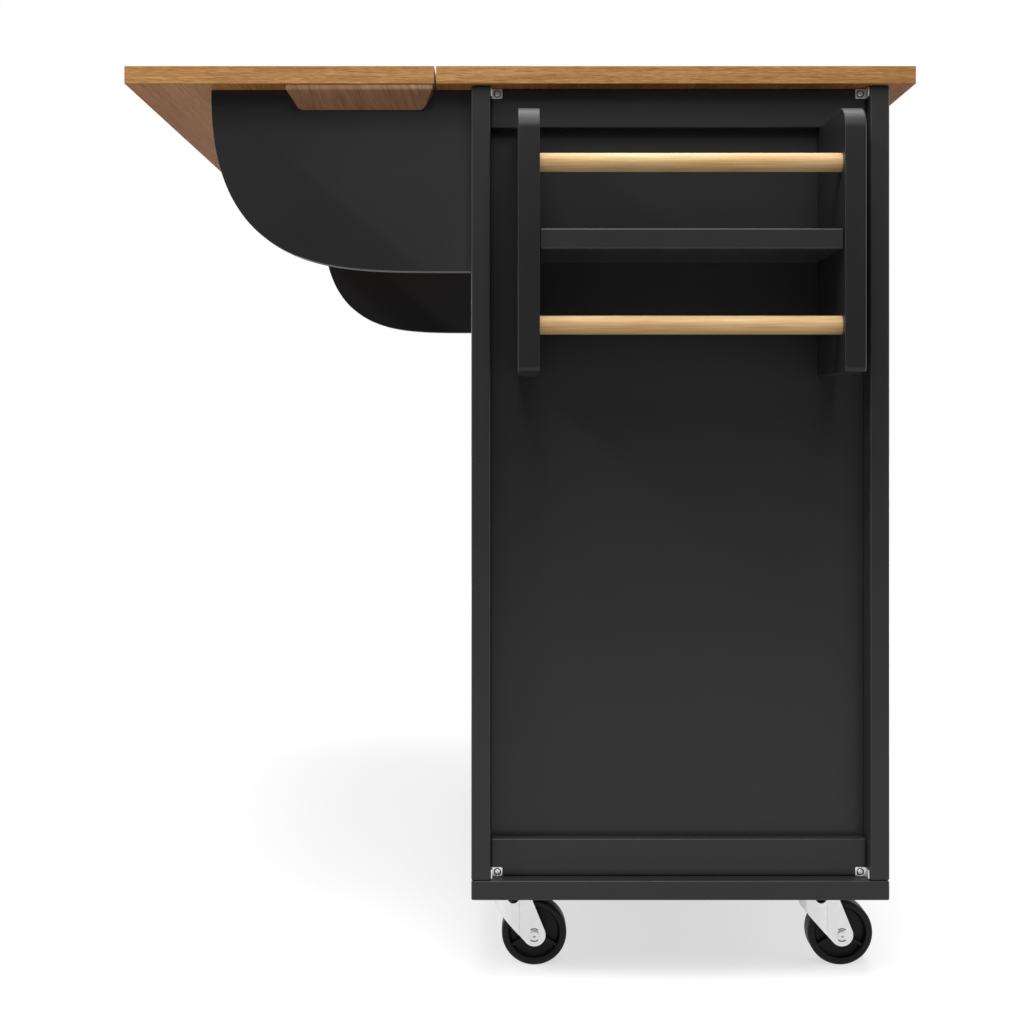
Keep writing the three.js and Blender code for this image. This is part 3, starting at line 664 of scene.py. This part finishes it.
angleBracket = {
    "plate": 11.6 * mm, "flange": 12 * mm, "tall": {"lower": 9.1 * mm, "upper": 9.8 * mm},
    "from": {"lower": 0.1 * mm, "upper": 0.3 * mm}, "thick": 1.3 * mm, "gap": 0.3 * mm, "corner": 1.4 * mm,
    "edge": 0.3 * mm, "screw": 2.7 * mm, "sink": 3.7 * mm, "sinkDeep": 0.7 * mm,
    # a thin black ring round the screw in the sink paints the shade there
    "shadeRingInner": 0.8, "shadeRingSlack": 0.05 * mm, "shadeRingThick": 0.15 * mm,
}


def makeAngle(key, side, postY, away, railFace, z, tall):
    # a plate on the rail and a flange on the post; the screw's head sits in a shallow round sink
    size = angleBracket
    corner, thick = size["corner"], size["thick"]
    x0, y0 = railFace + side * size["gap"], postY + away * size["gap"]

    def leg(name, start, end, low, high, axis):
        outline = roundedOutline([
            (start, z, 0), (end, z, corner), (end, z + tall, corner), (start, z + tall, 0)], 5)
        return prismObject(name, outline, low, high, axis)

    angle = leg(f"corner_angle_{key}", y0, y0 + away * size["plate"], x0, x0 + side * thick, "X")
    cutAway(angle, leg("flange", x0, x0 + side * size["flange"], y0, y0 + away * thick, "Y"), "UNION")
    middleY, middleZ = y0 + away * (thick + size["plate"]) / 2, z + tall / 2
    face = x0 + side * thick
    floorX = face - side * size["sinkDeep"]
    reach = sorted((floorX, face + side * 5 * mm))
    cutAway(angle, prismObject("sink", circle((middleY, middleZ), size["sink"], 24), *reach, "X"))
    finishPiece(softenEdges(angle, size["edge"], 2), zinc, "cabinet")
    at = (floorX, middleY, middleZ)
    addScrew(f"angle_screw_{key}", at, (side, 0, 0), size["screw"], "cabinet", zinc)
    # a black ring on the sink's floor round the screw's head: painted shade
    inner, outer = size["screw"] * size["shadeRingInner"], size["sink"] - size["shadeRingSlack"]
    ring = [(inner, 0), (outer, 0), (outer, size["shadeRingThick"]), (inner, size["shadeRingThick"]), (inner, 0)]
    shadeRing = latheObject(f"angle_shadeRing_{key}", ring, 32, (90 * side, "Y"), at)
    finishPiece(shadeRing, wheelPlastic, "cabinet")


def makeAngles():
    tall, start = angleBracket["tall"], angleBracket["from"]
    for end, side in ends.items():
        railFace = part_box(f"end_rail_upper_{end}")[0 if side < 0 else 1].x
        frontPost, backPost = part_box(f"post_front_{end}"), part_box(f"post_back_{end}")
        levels = {"lower": frontPost[0].z + start["lower"],
                  "upper": frontPost[1].z - start["upper"] - tall["upper"]}
        for row, postY, away in (("front", frontPost[1].y, 1), ("back", backPost[0].y, -1)):
            for level, z in levels.items():
                makeAngle(f"{row}_{level}_{end}", side, postY, away, railFace, z, tall[level])


makeAngles()
print("corner angles made")


# ---- hinges

hingeEdge = 0.15 * mm
supportScrews = {"radius": 3.0 * mm, "count": 4, "inset": 5.5 * mm, "sunk": 1.2 * mm, "dome": 0.6}
leafScrews = {"radius": 2.8 * mm, "count": 6, "inset": 8 * mm, "sunk": 1.8 * mm, "dome": 0.6}


def makeSupportHinge(end, side):
    low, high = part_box(f"support_hinge_fixed_{end}")
    moveLow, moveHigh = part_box(f"support_hinge_moving_{end}")
    size = supportScrews
    radius, inset, sunk = size["radius"], size["inset"], size["sunk"]
    leafX = high.x - inset if side < 0 else low.x + inset
    plateX = (moveHigh.x if side > 0 else moveLow.x) - side * sunk
    for i in range(size["count"]):
        z = low.z + (high.z - low.z) * (i + 0.5) / size["count"]
        addScrew(f"support_screw_fixed_{end}_{i + 1}", (leafX, low.y + sunk, z), (0, 1, 0),
                 radius, "cabinet", powderCoat, size["dome"])
        addScrew(f"support_screw_moving_{end}_{i + 1}", (plateX, moveHigh.y - inset, z), (-side, 0, 0),
                 radius, f"bracket_{end}", powderCoat, size["dome"])


def makeHinges():
    copyNode("leaf_hinge_fixed", zinc, "cabinet", hingeEdge, 1)
    copyNode("leaf_hinge_moving", zinc, "leaf", hingeEdge, 1)
    for end, side in ends.items():
        copyNode(f"support_hinge_fixed_{end}", powderCoat, "cabinet", hingeEdge, 1)
        copyNode(f"support_hinge_moving_{end}", powderCoat, f"bracket_{end}", hingeEdge, 1)
        copyNode(f"door_hinge_fixed_{end}", powderCoat, "cabinet", hingeEdge, 1)
        copyNode(f"door_hinge_moving_{end}", powderCoat, f"door_swing_{end}", hingeEdge, 1)
        makeSupportHinge(end, side)
    size = leafScrews
    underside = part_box("worktop")[0].z
    for node, body in (("leaf_hinge_fixed", "cabinet"), ("leaf_hinge_moving", "leaf")):
        low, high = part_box(node)
        y = low.y + size["inset"] if body == "cabinet" else high.y - size["inset"]
        for i in range(size["count"]):
            x = low.x + (high.x - low.x) * (i + 0.5) / size["count"]
            addScrew(f"{node}_screw_{i + 1}", (x, y, underside - size["sunk"]), (0, 0, -1),
                     size["radius"], body, zinc, size["dome"])


makeHinges()
print("hinges made")


# ---- doors, drawers, knobs

door = {"stile": 52 * mm, "recess": 6 * mm, "behind": 3 * mm, "edge": 0.84 * mm, "jointGap": 0.15 * mm}
drawerBox = {"wall": 11 * mm, "floor": 5 * mm, "floorUp": 8 * mm, "edge": 0.8 * mm, "joint": 0.1 * mm}


def makeDoor(end):
    # two stiles, two rails and a panel, set together with hairline joints
    node = f"door_{end}"
    low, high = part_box(node)
    stile, gap = door["stile"], door["jointGap"]
    innerLow, innerHigh = low.x + stile + gap, high.x - stile - gap
    piece = boxObject(
        node + "_finished",
        ((low.x, low.y, low.z), (low.x + stile, high.y, high.z)),
        ((high.x - stile, low.y, low.z), (high.x, high.y, high.z)),
        ((innerLow, low.y, low.z), (innerHigh, high.y, low.z + stile)),
        ((innerLow, low.y, high.z - stile), (innerHigh, high.y, high.z)),
        ((innerLow, low.y + door["recess"], low.z + stile + gap),
         (innerHigh, high.y - door["behind"], high.z - stile - gap)))
    finishPiece(softenEdges(piece, door["edge"], 3), blackPaint, f"door_swing_{end}", [node])


def makeDrawerBox(end):
    # four walls and a raised floor
    node = f"drawer_box_{end}"
    low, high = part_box(node)
    wall, joint = drawerBox["wall"], drawerBox["joint"]
    innerLow, innerHigh = low.x + wall + joint, high.x - wall - joint
    floorLow = low.z + drawerBox["floorUp"]
    piece = boxObject(
        node + "_finished",
        ((low.x, low.y, low.z), (low.x + wall, high.y, high.z)),
        ((high.x - wall, low.y, low.z), (high.x, high.y, high.z)),
        ((innerLow, low.y, low.z), (innerHigh, low.y + wall, high.z)),
        ((innerLow, high.y - wall, low.z), (innerHigh, high.y, high.z)),
        ((innerLow, low.y + wall + joint, floorLow),
         (innerHigh, high.y - wall - joint, floorLow + drawerBox["floor"])))
    finishPiece(softenEdges(piece, drawerBox["edge"], 2), innerFoil, f"drawer_{end}", [node])


# radius and height above the foot in mm; the tip ends at the CAD knob's length
knobProfile = [(8.5, 0), (8.5, 1.2), (7.9, 1.9), (6.5, 3.2), (6, 5), (6, 8.5), (7.2, 10.6), (10.66, 12.5),
               (12.48, 14.1), (13, 15.6), (13, 17.0), (12.35, 18.6), (10.4, 20.3)]
knobTip = {"radius": 5.2 * mm, "below": 0.2 * mm, "edge": 0.2 * mm}


def makeKnob(node, body):
    low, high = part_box(node)
    length = high.y - low.y
    profile = [(0, 0)] + [(radius * mm, height * mm) for radius, height in knobProfile]
    profile += [(knobTip["radius"], length - knobTip["below"]), (0, length)]
    at = ((low.x + high.x) / 2, high.y, (low.z + high.z) / 2)
    piece = latheObject(node + "_finished", profile, 64, (90, "X"), at)
    finishPiece(softenEdges(piece, knobTip["edge"], 1, 60), powderCoat, body, [node])


for end in ends:
    makeDoor(end)
    makeDrawerBox(end)
    makeKnob(f"door_knob_{end}", f"door_swing_{end}")
    makeKnob(f"drawer_knob_{end}", f"drawer_{end}")
print("doors and drawers made")


# ---- casters

caster = {
    "trail": 21.5 * mm, "cupRadius": 19.2 * mm, "legFace": 17.5 * mm, "sheet": 2.0 * mm, "top": 78.1 * mm,
    "boss": 11.6 * mm, "frontEdge": [(20.5, 78.1), (20.5, 62.5), (10.9, 51.8)],
    "backEdge": [(-16.2, 78.1), (-20.2, 67.3)],
    "rivetRadius": 5.2 * mm, "rivetThick": 1.3 * mm, "axleRadius": 4.0 * mm, "pinHole": 5.5 * mm,
    "crease": 0.8 * mm, "reliefRadius": 6.4 * mm, "reliefZ": 72.7 * mm, "cutPast": 3 * mm,
    # a black ring round the pin, which paints the shade seen through the relief
    "pinShadeRingRadius": 13 * mm, "pinShadeRingBore": 8.7 * mm, "pinShadeRingLow": 66.6 * mm,
    "groove": {"inner": 5.9 * mm, "outer": 7.0 * mm, "deep": 0.9 * mm, "half": 38,
               "inset": 0.03 * mm, "filledTo": 0.25 * mm},
}
wheelShape = {
    "radius": 33.4 * mm, "width": 22 * mm, "treadEdge": 2.6 * mm, "rimInner": 27 * mm, "web": 8 * mm,
    "hubRadius": 9 * mm, "hubWidth": 29 * mm, "spokes": 3, "spokeWide": 3.2 * mm, "spokeDeep": 0.4,
    "bore": 4.35 * mm,
}


def forkMesh(name, axleZ):
    # about the swivel axis at the origin: a bent sheet, trimmed to the tapered legs' outline
    size = caster
    face, sheet, past = size["legFace"], size["sheet"], size["cutPast"]
    legEnd = -(size["trail"] + size["boss"] + 1 * mm)

    def plan(radius, legFace, endY):
        # the legs are pressed in a little from the cup, which leaves an upright crease
        start = -math.degrees(math.acos((legFace + size["crease"]) / radius))
        cup = arc((0, 0), radius, start, 180 - start, 48)
        crease = cup[0][1] - size["crease"]
        return [(-legFace, endY), (legFace, endY), (legFace, crease), *cup, (-legFace, crease)]

    fork = prismObject(name, plan(size["cupRadius"], face, legEnd), 0, size["top"], "Z")
    inner = plan(size["cupRadius"] - sheet, face - sheet, legEnd - 5 * mm)
    cutAway(fork, prismObject("inside", inner, -sheet, size["top"] - sheet, "Z"))

    def tangent(corner, side):
        y, z = corner[0] * mm + size["trail"], corner[1] * mm - axleZ
        return math.degrees(math.atan2(z, y) + side * math.acos(size["boss"] / math.hypot(y, z)))

    fromAngle = tangent(size["frontEdge"][-1], -1)
    toAngle = tangent(size["backEdge"][-1], 1)
    if toAngle > fromAngle:
        toAngle -= 360
    outline = [(y * mm, z * mm) for y, z in size["frontEdge"]]
    outline += arc((-size["trail"], axleZ), size["boss"], fromAngle, toAngle, 40)
    outline += [(y * mm, z * mm) for y, z in reversed(size["backEdge"])]
    wide = 3 * size["cupRadius"]
    cutAway(fork, prismObject("side", outline, -wide, wide, "X"), "INTERSECT")
    cutAway(fork, prismObject("pinHole", circle((0, 0), size["pinHole"], 48), 0, size["top"] + 5 * mm, "Z"))
    for side in (-1, 1):
        # a round relief under the race, and two short grooves pressed in above and below the axle's head
        reach = sorted((side * (face - past), side * (size["cupRadius"] + past)))
        relief = arc((0, size["reliefZ"]), size["reliefRadius"], 180, 360, 32)
        cutAway(fork, prismObject("relief", relief, *reach, "X"))
        reach = sorted((side * (face - size["groove"]["deep"]), side * (size["cupRadius"] + past)))
        for middle in (90, 270):
            cutAway(fork, prismObject("headGroove", grooveBand(axleZ, middle, 0, 0), *reach, "X"))
    return fork


def grooveBand(axleZ, middle, inset, shorter):
    # part of a ring round the axle
    groove, centre = caster["groove"], (-caster["trail"], axleZ)
    turns = (middle - groove["half"] + shorter, middle + groove["half"] - shorter)
    outer = arc(centre, groove["outer"] - inset, *turns, 14)
    return outer + arc(centre, groove["inner"] + inset, *turns[::-1], 14)


def darkMesh(name, axleZ):
    # black ring round the pin and black fills in the axle head's grooves: painted shade in relief and grooves
    size, groove = caster, caster["groove"]
    low, high = size["pinShadeRingLow"], size["top"] - size["sheet"] - 0.1 * mm
    bore, radius = size["pinShadeRingBore"], size["pinShadeRingRadius"]
    bm = bmesh.new()
    addLathe(bm, [(bore, low), (radius - 1 * mm, low), (radius, low + 1 * mm), (radius, high), (bore, high),
                  (bore, low)], 48)
    bmesh.ops.remove_doubles(bm, verts=bm.verts, dist=1e-6)
    for side in (-1, 1):
        bottom, top = groove["deep"] - groove["inset"], groove["filledTo"]
        reach = sorted((side * (size["legFace"] - bottom), side * (size["legFace"] - top)))
        for middle in (90, 270):
            addPrism(bm, grooveBand(axleZ, middle, groove["inset"], 1), *reach, "X")
    return meshObject(name, bm)


def rivetMesh(name, axleZ):
    size = caster
    face, head, thick = size["legFace"], size["rivetRadius"], size["rivetThick"]
    sunk, rim = face - 0.2 * mm, face + 0.25 * mm
    upper = [(size["axleRadius"], sunk), (head, sunk), (head, rim)]
    # the domed head and the dimple in it, in shares of the head's radius and thickness
    upper += [(head * r, face + thick * z) for r, z in (
        (0.97, 0.45), (0.88, 0.75), (0.72, 0.93), (0.5, 1), (0.42, 0.93), (0.34, 0.62), (0, 0.55))]
    profile = [(r, -z) for r, z in reversed(upper)] + upper
    return latheObject(name, profile, 48, (90, "Y"), (0, -size["trail"], axleZ))


def wheelMesh(name):
    size = wheelShape
    radius, half, edge = size["radius"], size["width"] / 2, size["treadEdge"]
    rim, web, hub, hubHalf = size["rimInner"], size["web"] / 2, size["hubRadius"], size["hubWidth"] / 2
    side = [(size["bore"], hubHalf), (hub - 1.2 * mm, hubHalf), (hub - 0.6 * mm, hubHalf - 0.5 * mm),
            (hub + 0.4 * mm, web + 0.8 * mm), (hub + 1.4 * mm, web), (rim - 2.8 * mm, web),
            (rim - 1.6 * mm, web + 1.0 * mm), (rim - 0.5 * mm, half - 0.6 * mm),
            (rim + 0.1 * mm, half - 0.1 * mm), (rim + 1.0 * mm, half), (radius - edge - 0.8 * mm, half)]
    side += [(radius - edge + edge * math.sin(t), half - edge + edge * math.cos(t))
             for t in (math.radians(a) for a in (0, 18, 36, 54, 72, 90))]
    profile = side + [(r, -z) for r, z in reversed(side)] + [side[0]]
    wheel = latheObject(name, profile, 128)
    deep, wide = size["width"] * size["spokeDeep"], size["spokeWide"] / 2
    start, end, taper = hub - 2 * mm, rim + 1 * mm, wide * 0.8
    outline = [(-wide, start), (wide, start), (taper, end), (-taper, end)]
    for i in range(size["spokes"]):
        spoke = prismObject("spoke", outline, -deep, deep, "Z")
        spoke.data.transform(Matrix.Rotation(2 * math.pi * i / size["spokes"], 4, "Z"))
        cutAway(wheel, spoke, "UNION")
    quarter = math.radians(90)
    wheel.data.transform(Matrix.Rotation(quarter, 4, "Y") @ Matrix.Rotation(quarter, 4, "Z"))
    return wheel


plateShape = {
    "thick": 2.4 * mm, "corner": 6 * mm, "edge": 0.3 * mm, "screwX": 24 * mm, "screwY": 19.5 * mm,
    "screw": 3.6 * mm, "dome": 0.8,
    # half sections in mm: the race hangs from the plate, the pin's head stands on the node's lowest point
    "race": [(0, 0.2), (16.5, 0.2), (16.5, -0.9), (15.4, -2.0), (14, -2.2), (0, -2.2)],
    "head": [(0, 0), (6.6, 0), (8, 0.9), (8, 2), (4.8, 2)], "pin": 4.8 * mm,
}


def makePlate(node, at):
    # plate with a pressed ball race, and the pin through it with its riveted head
    size = plateShape
    low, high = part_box(node)
    corner, bottom = size["corner"], high.z - size["thick"]
    outline = roundedOutline([
        (x, y, corner) for x, y in ((low.x, low.y), (high.x, low.y), (high.x, high.y), (low.x, high.y))])
    bm = bmesh.new()
    addPrism(bm, outline, bottom, high.z, "Z")
    addLathe(bm, [(r * mm, z * mm) for r, z in size["race"]], 64, (at[0], at[1], bottom))
    head = [(r * mm, low.z + z * mm) for r, z in size["head"]]
    addLathe(bm, head + [(size["pin"], bottom), (0, bottom)], 48, (at[0], at[1], 0))
    piece = softenEdges(meshObject(node + "_finished", bm), size["edge"], 2, 40)
    finishPiece(piece, zinc, "cabinet", [node])
    for i, (sx, sy) in enumerate(((-1, -1), (1, -1), (1, 1), (-1, 1))):
        place = (at[0] + sx * size["screwX"], at[1] + sy * size["screwY"], bottom)
        addScrew(f"{node}_screw_{i + 1}", place, (0, 0, -1), size["screw"], "cabinet", zinc, size["dome"])


def makeCasters():
    wheelLow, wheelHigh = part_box("caster_wheel_front_left")
    axleZ = (wheelLow.z + wheelHigh.z) / 2
    fork = forkMesh("forkPattern", axleZ)
    rivet = rivetMesh("rivetPattern", axleZ)
    dark = darkMesh("darkPattern", axleZ)
    wheel = wheelMesh("wheelPattern")
    # pattern, piece, what it rides on, finish, edge radius, bevel segments and angle
    kinds = (
        (fork, "caster_fork_{}_finished", "fork", zinc, 0.45 * mm, 3, 30),
        (rivet, "caster_rivet_{}", "fork", zinc, 0.15 * mm, 1, 50),
        # the dark pattern's ring and groove fills are painted shade
        (dark, "caster_bush_{}", "fork", wheelPlastic, 0.1 * mm, 1, 50),
        (wheel, "caster_wheel_{}_finished", "wheel", wheelPlastic, 0.35 * mm, 2, 38),
    )
    for row in rows:
        for end in ends:
            key = f"{row}_{end}"
            low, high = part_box(f"caster_wheel_{key}")
            centre = (low + high) / 2
            swivel = Vector((centre.x, centre.y + caster["trail"], 0))
            for pattern, name, body, material, radius, segments, angle in kinds:
                piece = copyTo(pattern, name.format(key), centre if pattern == wheel else swivel)
                softenEdges(piece, radius, segments, angle)
                nodes = [f"caster_{body}_{key}"] if name.endswith("_finished") else []
                finishPiece(piece, material, f"{body}_{key}", nodes)
            makePlate(f"caster_plate_{key}", swivel)
    for pattern in (fork, rivet, dark, wheel):
        bpy.data.objects.remove(pattern)


makeCasters()
print("casters made")


# ---- floor, light, camera

stageLook = {"floor": "#b2b2b2", "floorRoughness": 0.9, "floorLift": 0.62, "farLift": 0.92,
             "liftFrom": 1.2, "liftTo": 4.0, "halfFloor": 30, "world": 0.24, "flag": "#303030"}


def makeFloor():
    material, tree, surface = newMaterial("paleFloor")
    setInputs(tree, surface, {
        "Base Color": hexColour(stageLook["floor"]), "Roughness": stageLook["floorRoughness"]})
    rays = addNode(tree, "LightPath").node.outputs
    seen = addNode(tree, "Math", (rays["Is Camera Ray"], rays["Is Glossy Ray"]), operation="MAXIMUM")
    # the lamps' light falls off away from the object, and the lift makes up for it
    place = addNode(tree, "TexCoord", output="Object")
    away = addNode(tree, "VectorMath", (place,), "Value", operation="LENGTH")
    lift = addNode(tree, "MapRange", (
        away, stageLook["liftFrom"], stageLook["liftTo"], stageLook["floorLift"], stageLook["farLift"]))
    glow = addNode(tree, "Emission", {"Color": (1, 1, 1, 1), "Strength": lift})
    lit = addNode(tree, "AddShader", (surface.outputs[0], glow))
    both = addNode(tree, "MixShader", (seen, surface.outputs[0], lit))
    tree.links.new(both, tree.nodes["Material Output"].inputs["Surface"])
    bm = bmesh.new()
    bmesh.ops.create_grid(bm, x_segments=8, y_segments=8, size=stageLook["halfFloor"])
    floor = meshObject("paleFloor", bm)
    floor.data.materials.append(material)


def makeWorld():
    # seen straight, in a reflection or through glass, the studio round the object is white
    world = bpy.data.worlds.new("studioWorld")
    bpy.context.scene.world = world
    world.use_nodes = True
    tree = world.node_tree
    soft = tree.nodes["Background"]
    setInputs(tree, soft, {"Color": (1, 1, 1, 1), "Strength": stageLook["world"]})
    white = addNode(tree, "Background", {"Color": (1, 1, 1, 1), "Strength": 1.0})
    rays = addNode(tree, "LightPath").node.outputs
    seen = addNode(tree, "Math", (rays["Is Camera Ray"], rays["Is Glossy Ray"]), operation="MAXIMUM")
    seen = addNode(tree, "Math", (seen, rays["Is Transmission Ray"]), operation="MAXIMUM")
    mixed = addNode(tree, "MixShader", (seen, soft.outputs[0], white))
    tree.links.new(mixed, tree.nodes["World Output"].inputs["Surface"])


flag = {"x": -3.0, "halfWide": 2.4, "low": 0.02, "high": 1.75}


def makeFlag():
    # a dark sheet behind the camera, seen only in reflections: painted dark reflections that keep black gloss
    # black
    material, tree, surface = newMaterial("darkFlag")
    setInputs(tree, surface, {
        "Base Color": hexColour(stageLook["flag"]), "Roughness": 1.0, "Specular IOR Level": 0.0})
    bm = bmesh.new()
    corners = [(-1, "low"), (1, "low"), (1, "high"), (-1, "high")]
    bm.faces.new([bm.verts.new((flag["x"], side * flag["halfWide"], flag[level])) for side, level in corners])
    cloth = meshObject("darkFlag", bm)
    cloth.data.materials.append(material)
    cloth.visible_camera = cloth.visible_diffuse = cloth.visible_shadow = False


# The overhead softbox gives the bright tops of the rounded edges. The front one is high, so that
# the rack shades the panel below it, and the small key gives the faint slanting shadow edge there.
# The side ones draw thin light lines along the upright edges.
softboxes = {
    "overhead": {"at": (-0.45, -0.12, 2.9), "aim": (-0.45, -0.12, 0.0), "size": (1.75, 1.75), "power": 57},
    "front": {"at": (-1.75, -0.1, 2.4), "aim": (-0.40, -0.05, 0.5), "size": (1.2, 1.6), "power": 30},
    "key": {"at": (-1.30, 1.77, 2.08), "aim": (-0.4, -0.1, 0.5), "size": (0.25, 0.25), "power": 14},
    "doorSide": {"at": (-0.3, -3.1, 1.2), "aim": (0.0, 0.0, 0.5), "size": (2.0, 2.0), "power": 30},
    "leafSide": {"at": (-0.3, 3.1, 1.2), "aim": (0.0, 0.0, 0.5), "size": (2.0, 2.0), "power": 30},
    "farEnd": {"at": (3.3, 0.3, 1.4), "aim": (0.4, 0.0, 0.5), "size": (2.0, 2.0), "power": 32},
}


def makeLights():
    for name, light in softboxes.items():
        data = bpy.data.lights.new(name + "Softbox", "AREA")
        data.shape = "RECTANGLE"
        data.size, data.size_y = light["size"]
        data.energy = light["power"]
        lamp = bpy.data.objects.new(name + "Softbox", data)
        bpy.context.scene.collection.objects.link(lamp)
        lamp.location = light["at"]
        direction = Vector(light["aim"]) - Vector(light["at"])
        lamp.rotation_euler = direction.to_track_quat("-Z", "Y").to_euler()


# focal length and shift put the horizon and the middle of view where the photo has them
cameraView = {"at": (-1.84605, 0.015, 0.5504), "lens": 49.957, "shiftX": 0.00635, "shiftY": -0.0784,
              "sensor": 36, "far": 60}


def makeCamera():
    data = bpy.data.cameras.new("photoCamera")
    data.lens = cameraView["lens"]
    data.sensor_width = cameraView["sensor"]
    data.shift_x = cameraView["shiftX"]
    data.shift_y = cameraView["shiftY"]
    data.clip_end = cameraView["far"]
    camera = bpy.data.objects.new("photoCamera", data)
    bpy.context.scene.collection.objects.link(camera)
    camera.location = cameraView["at"]
    camera.rotation_euler = (math.radians(90), 0, math.radians(-90))
    bpy.context.scene.camera = camera


makeFloor()
makeWorld()
makeFlag()
makeLights()
makeCamera()
bpy.context.scene.view_settings.view_transform = "Standard"
print("stage, light and camera made")
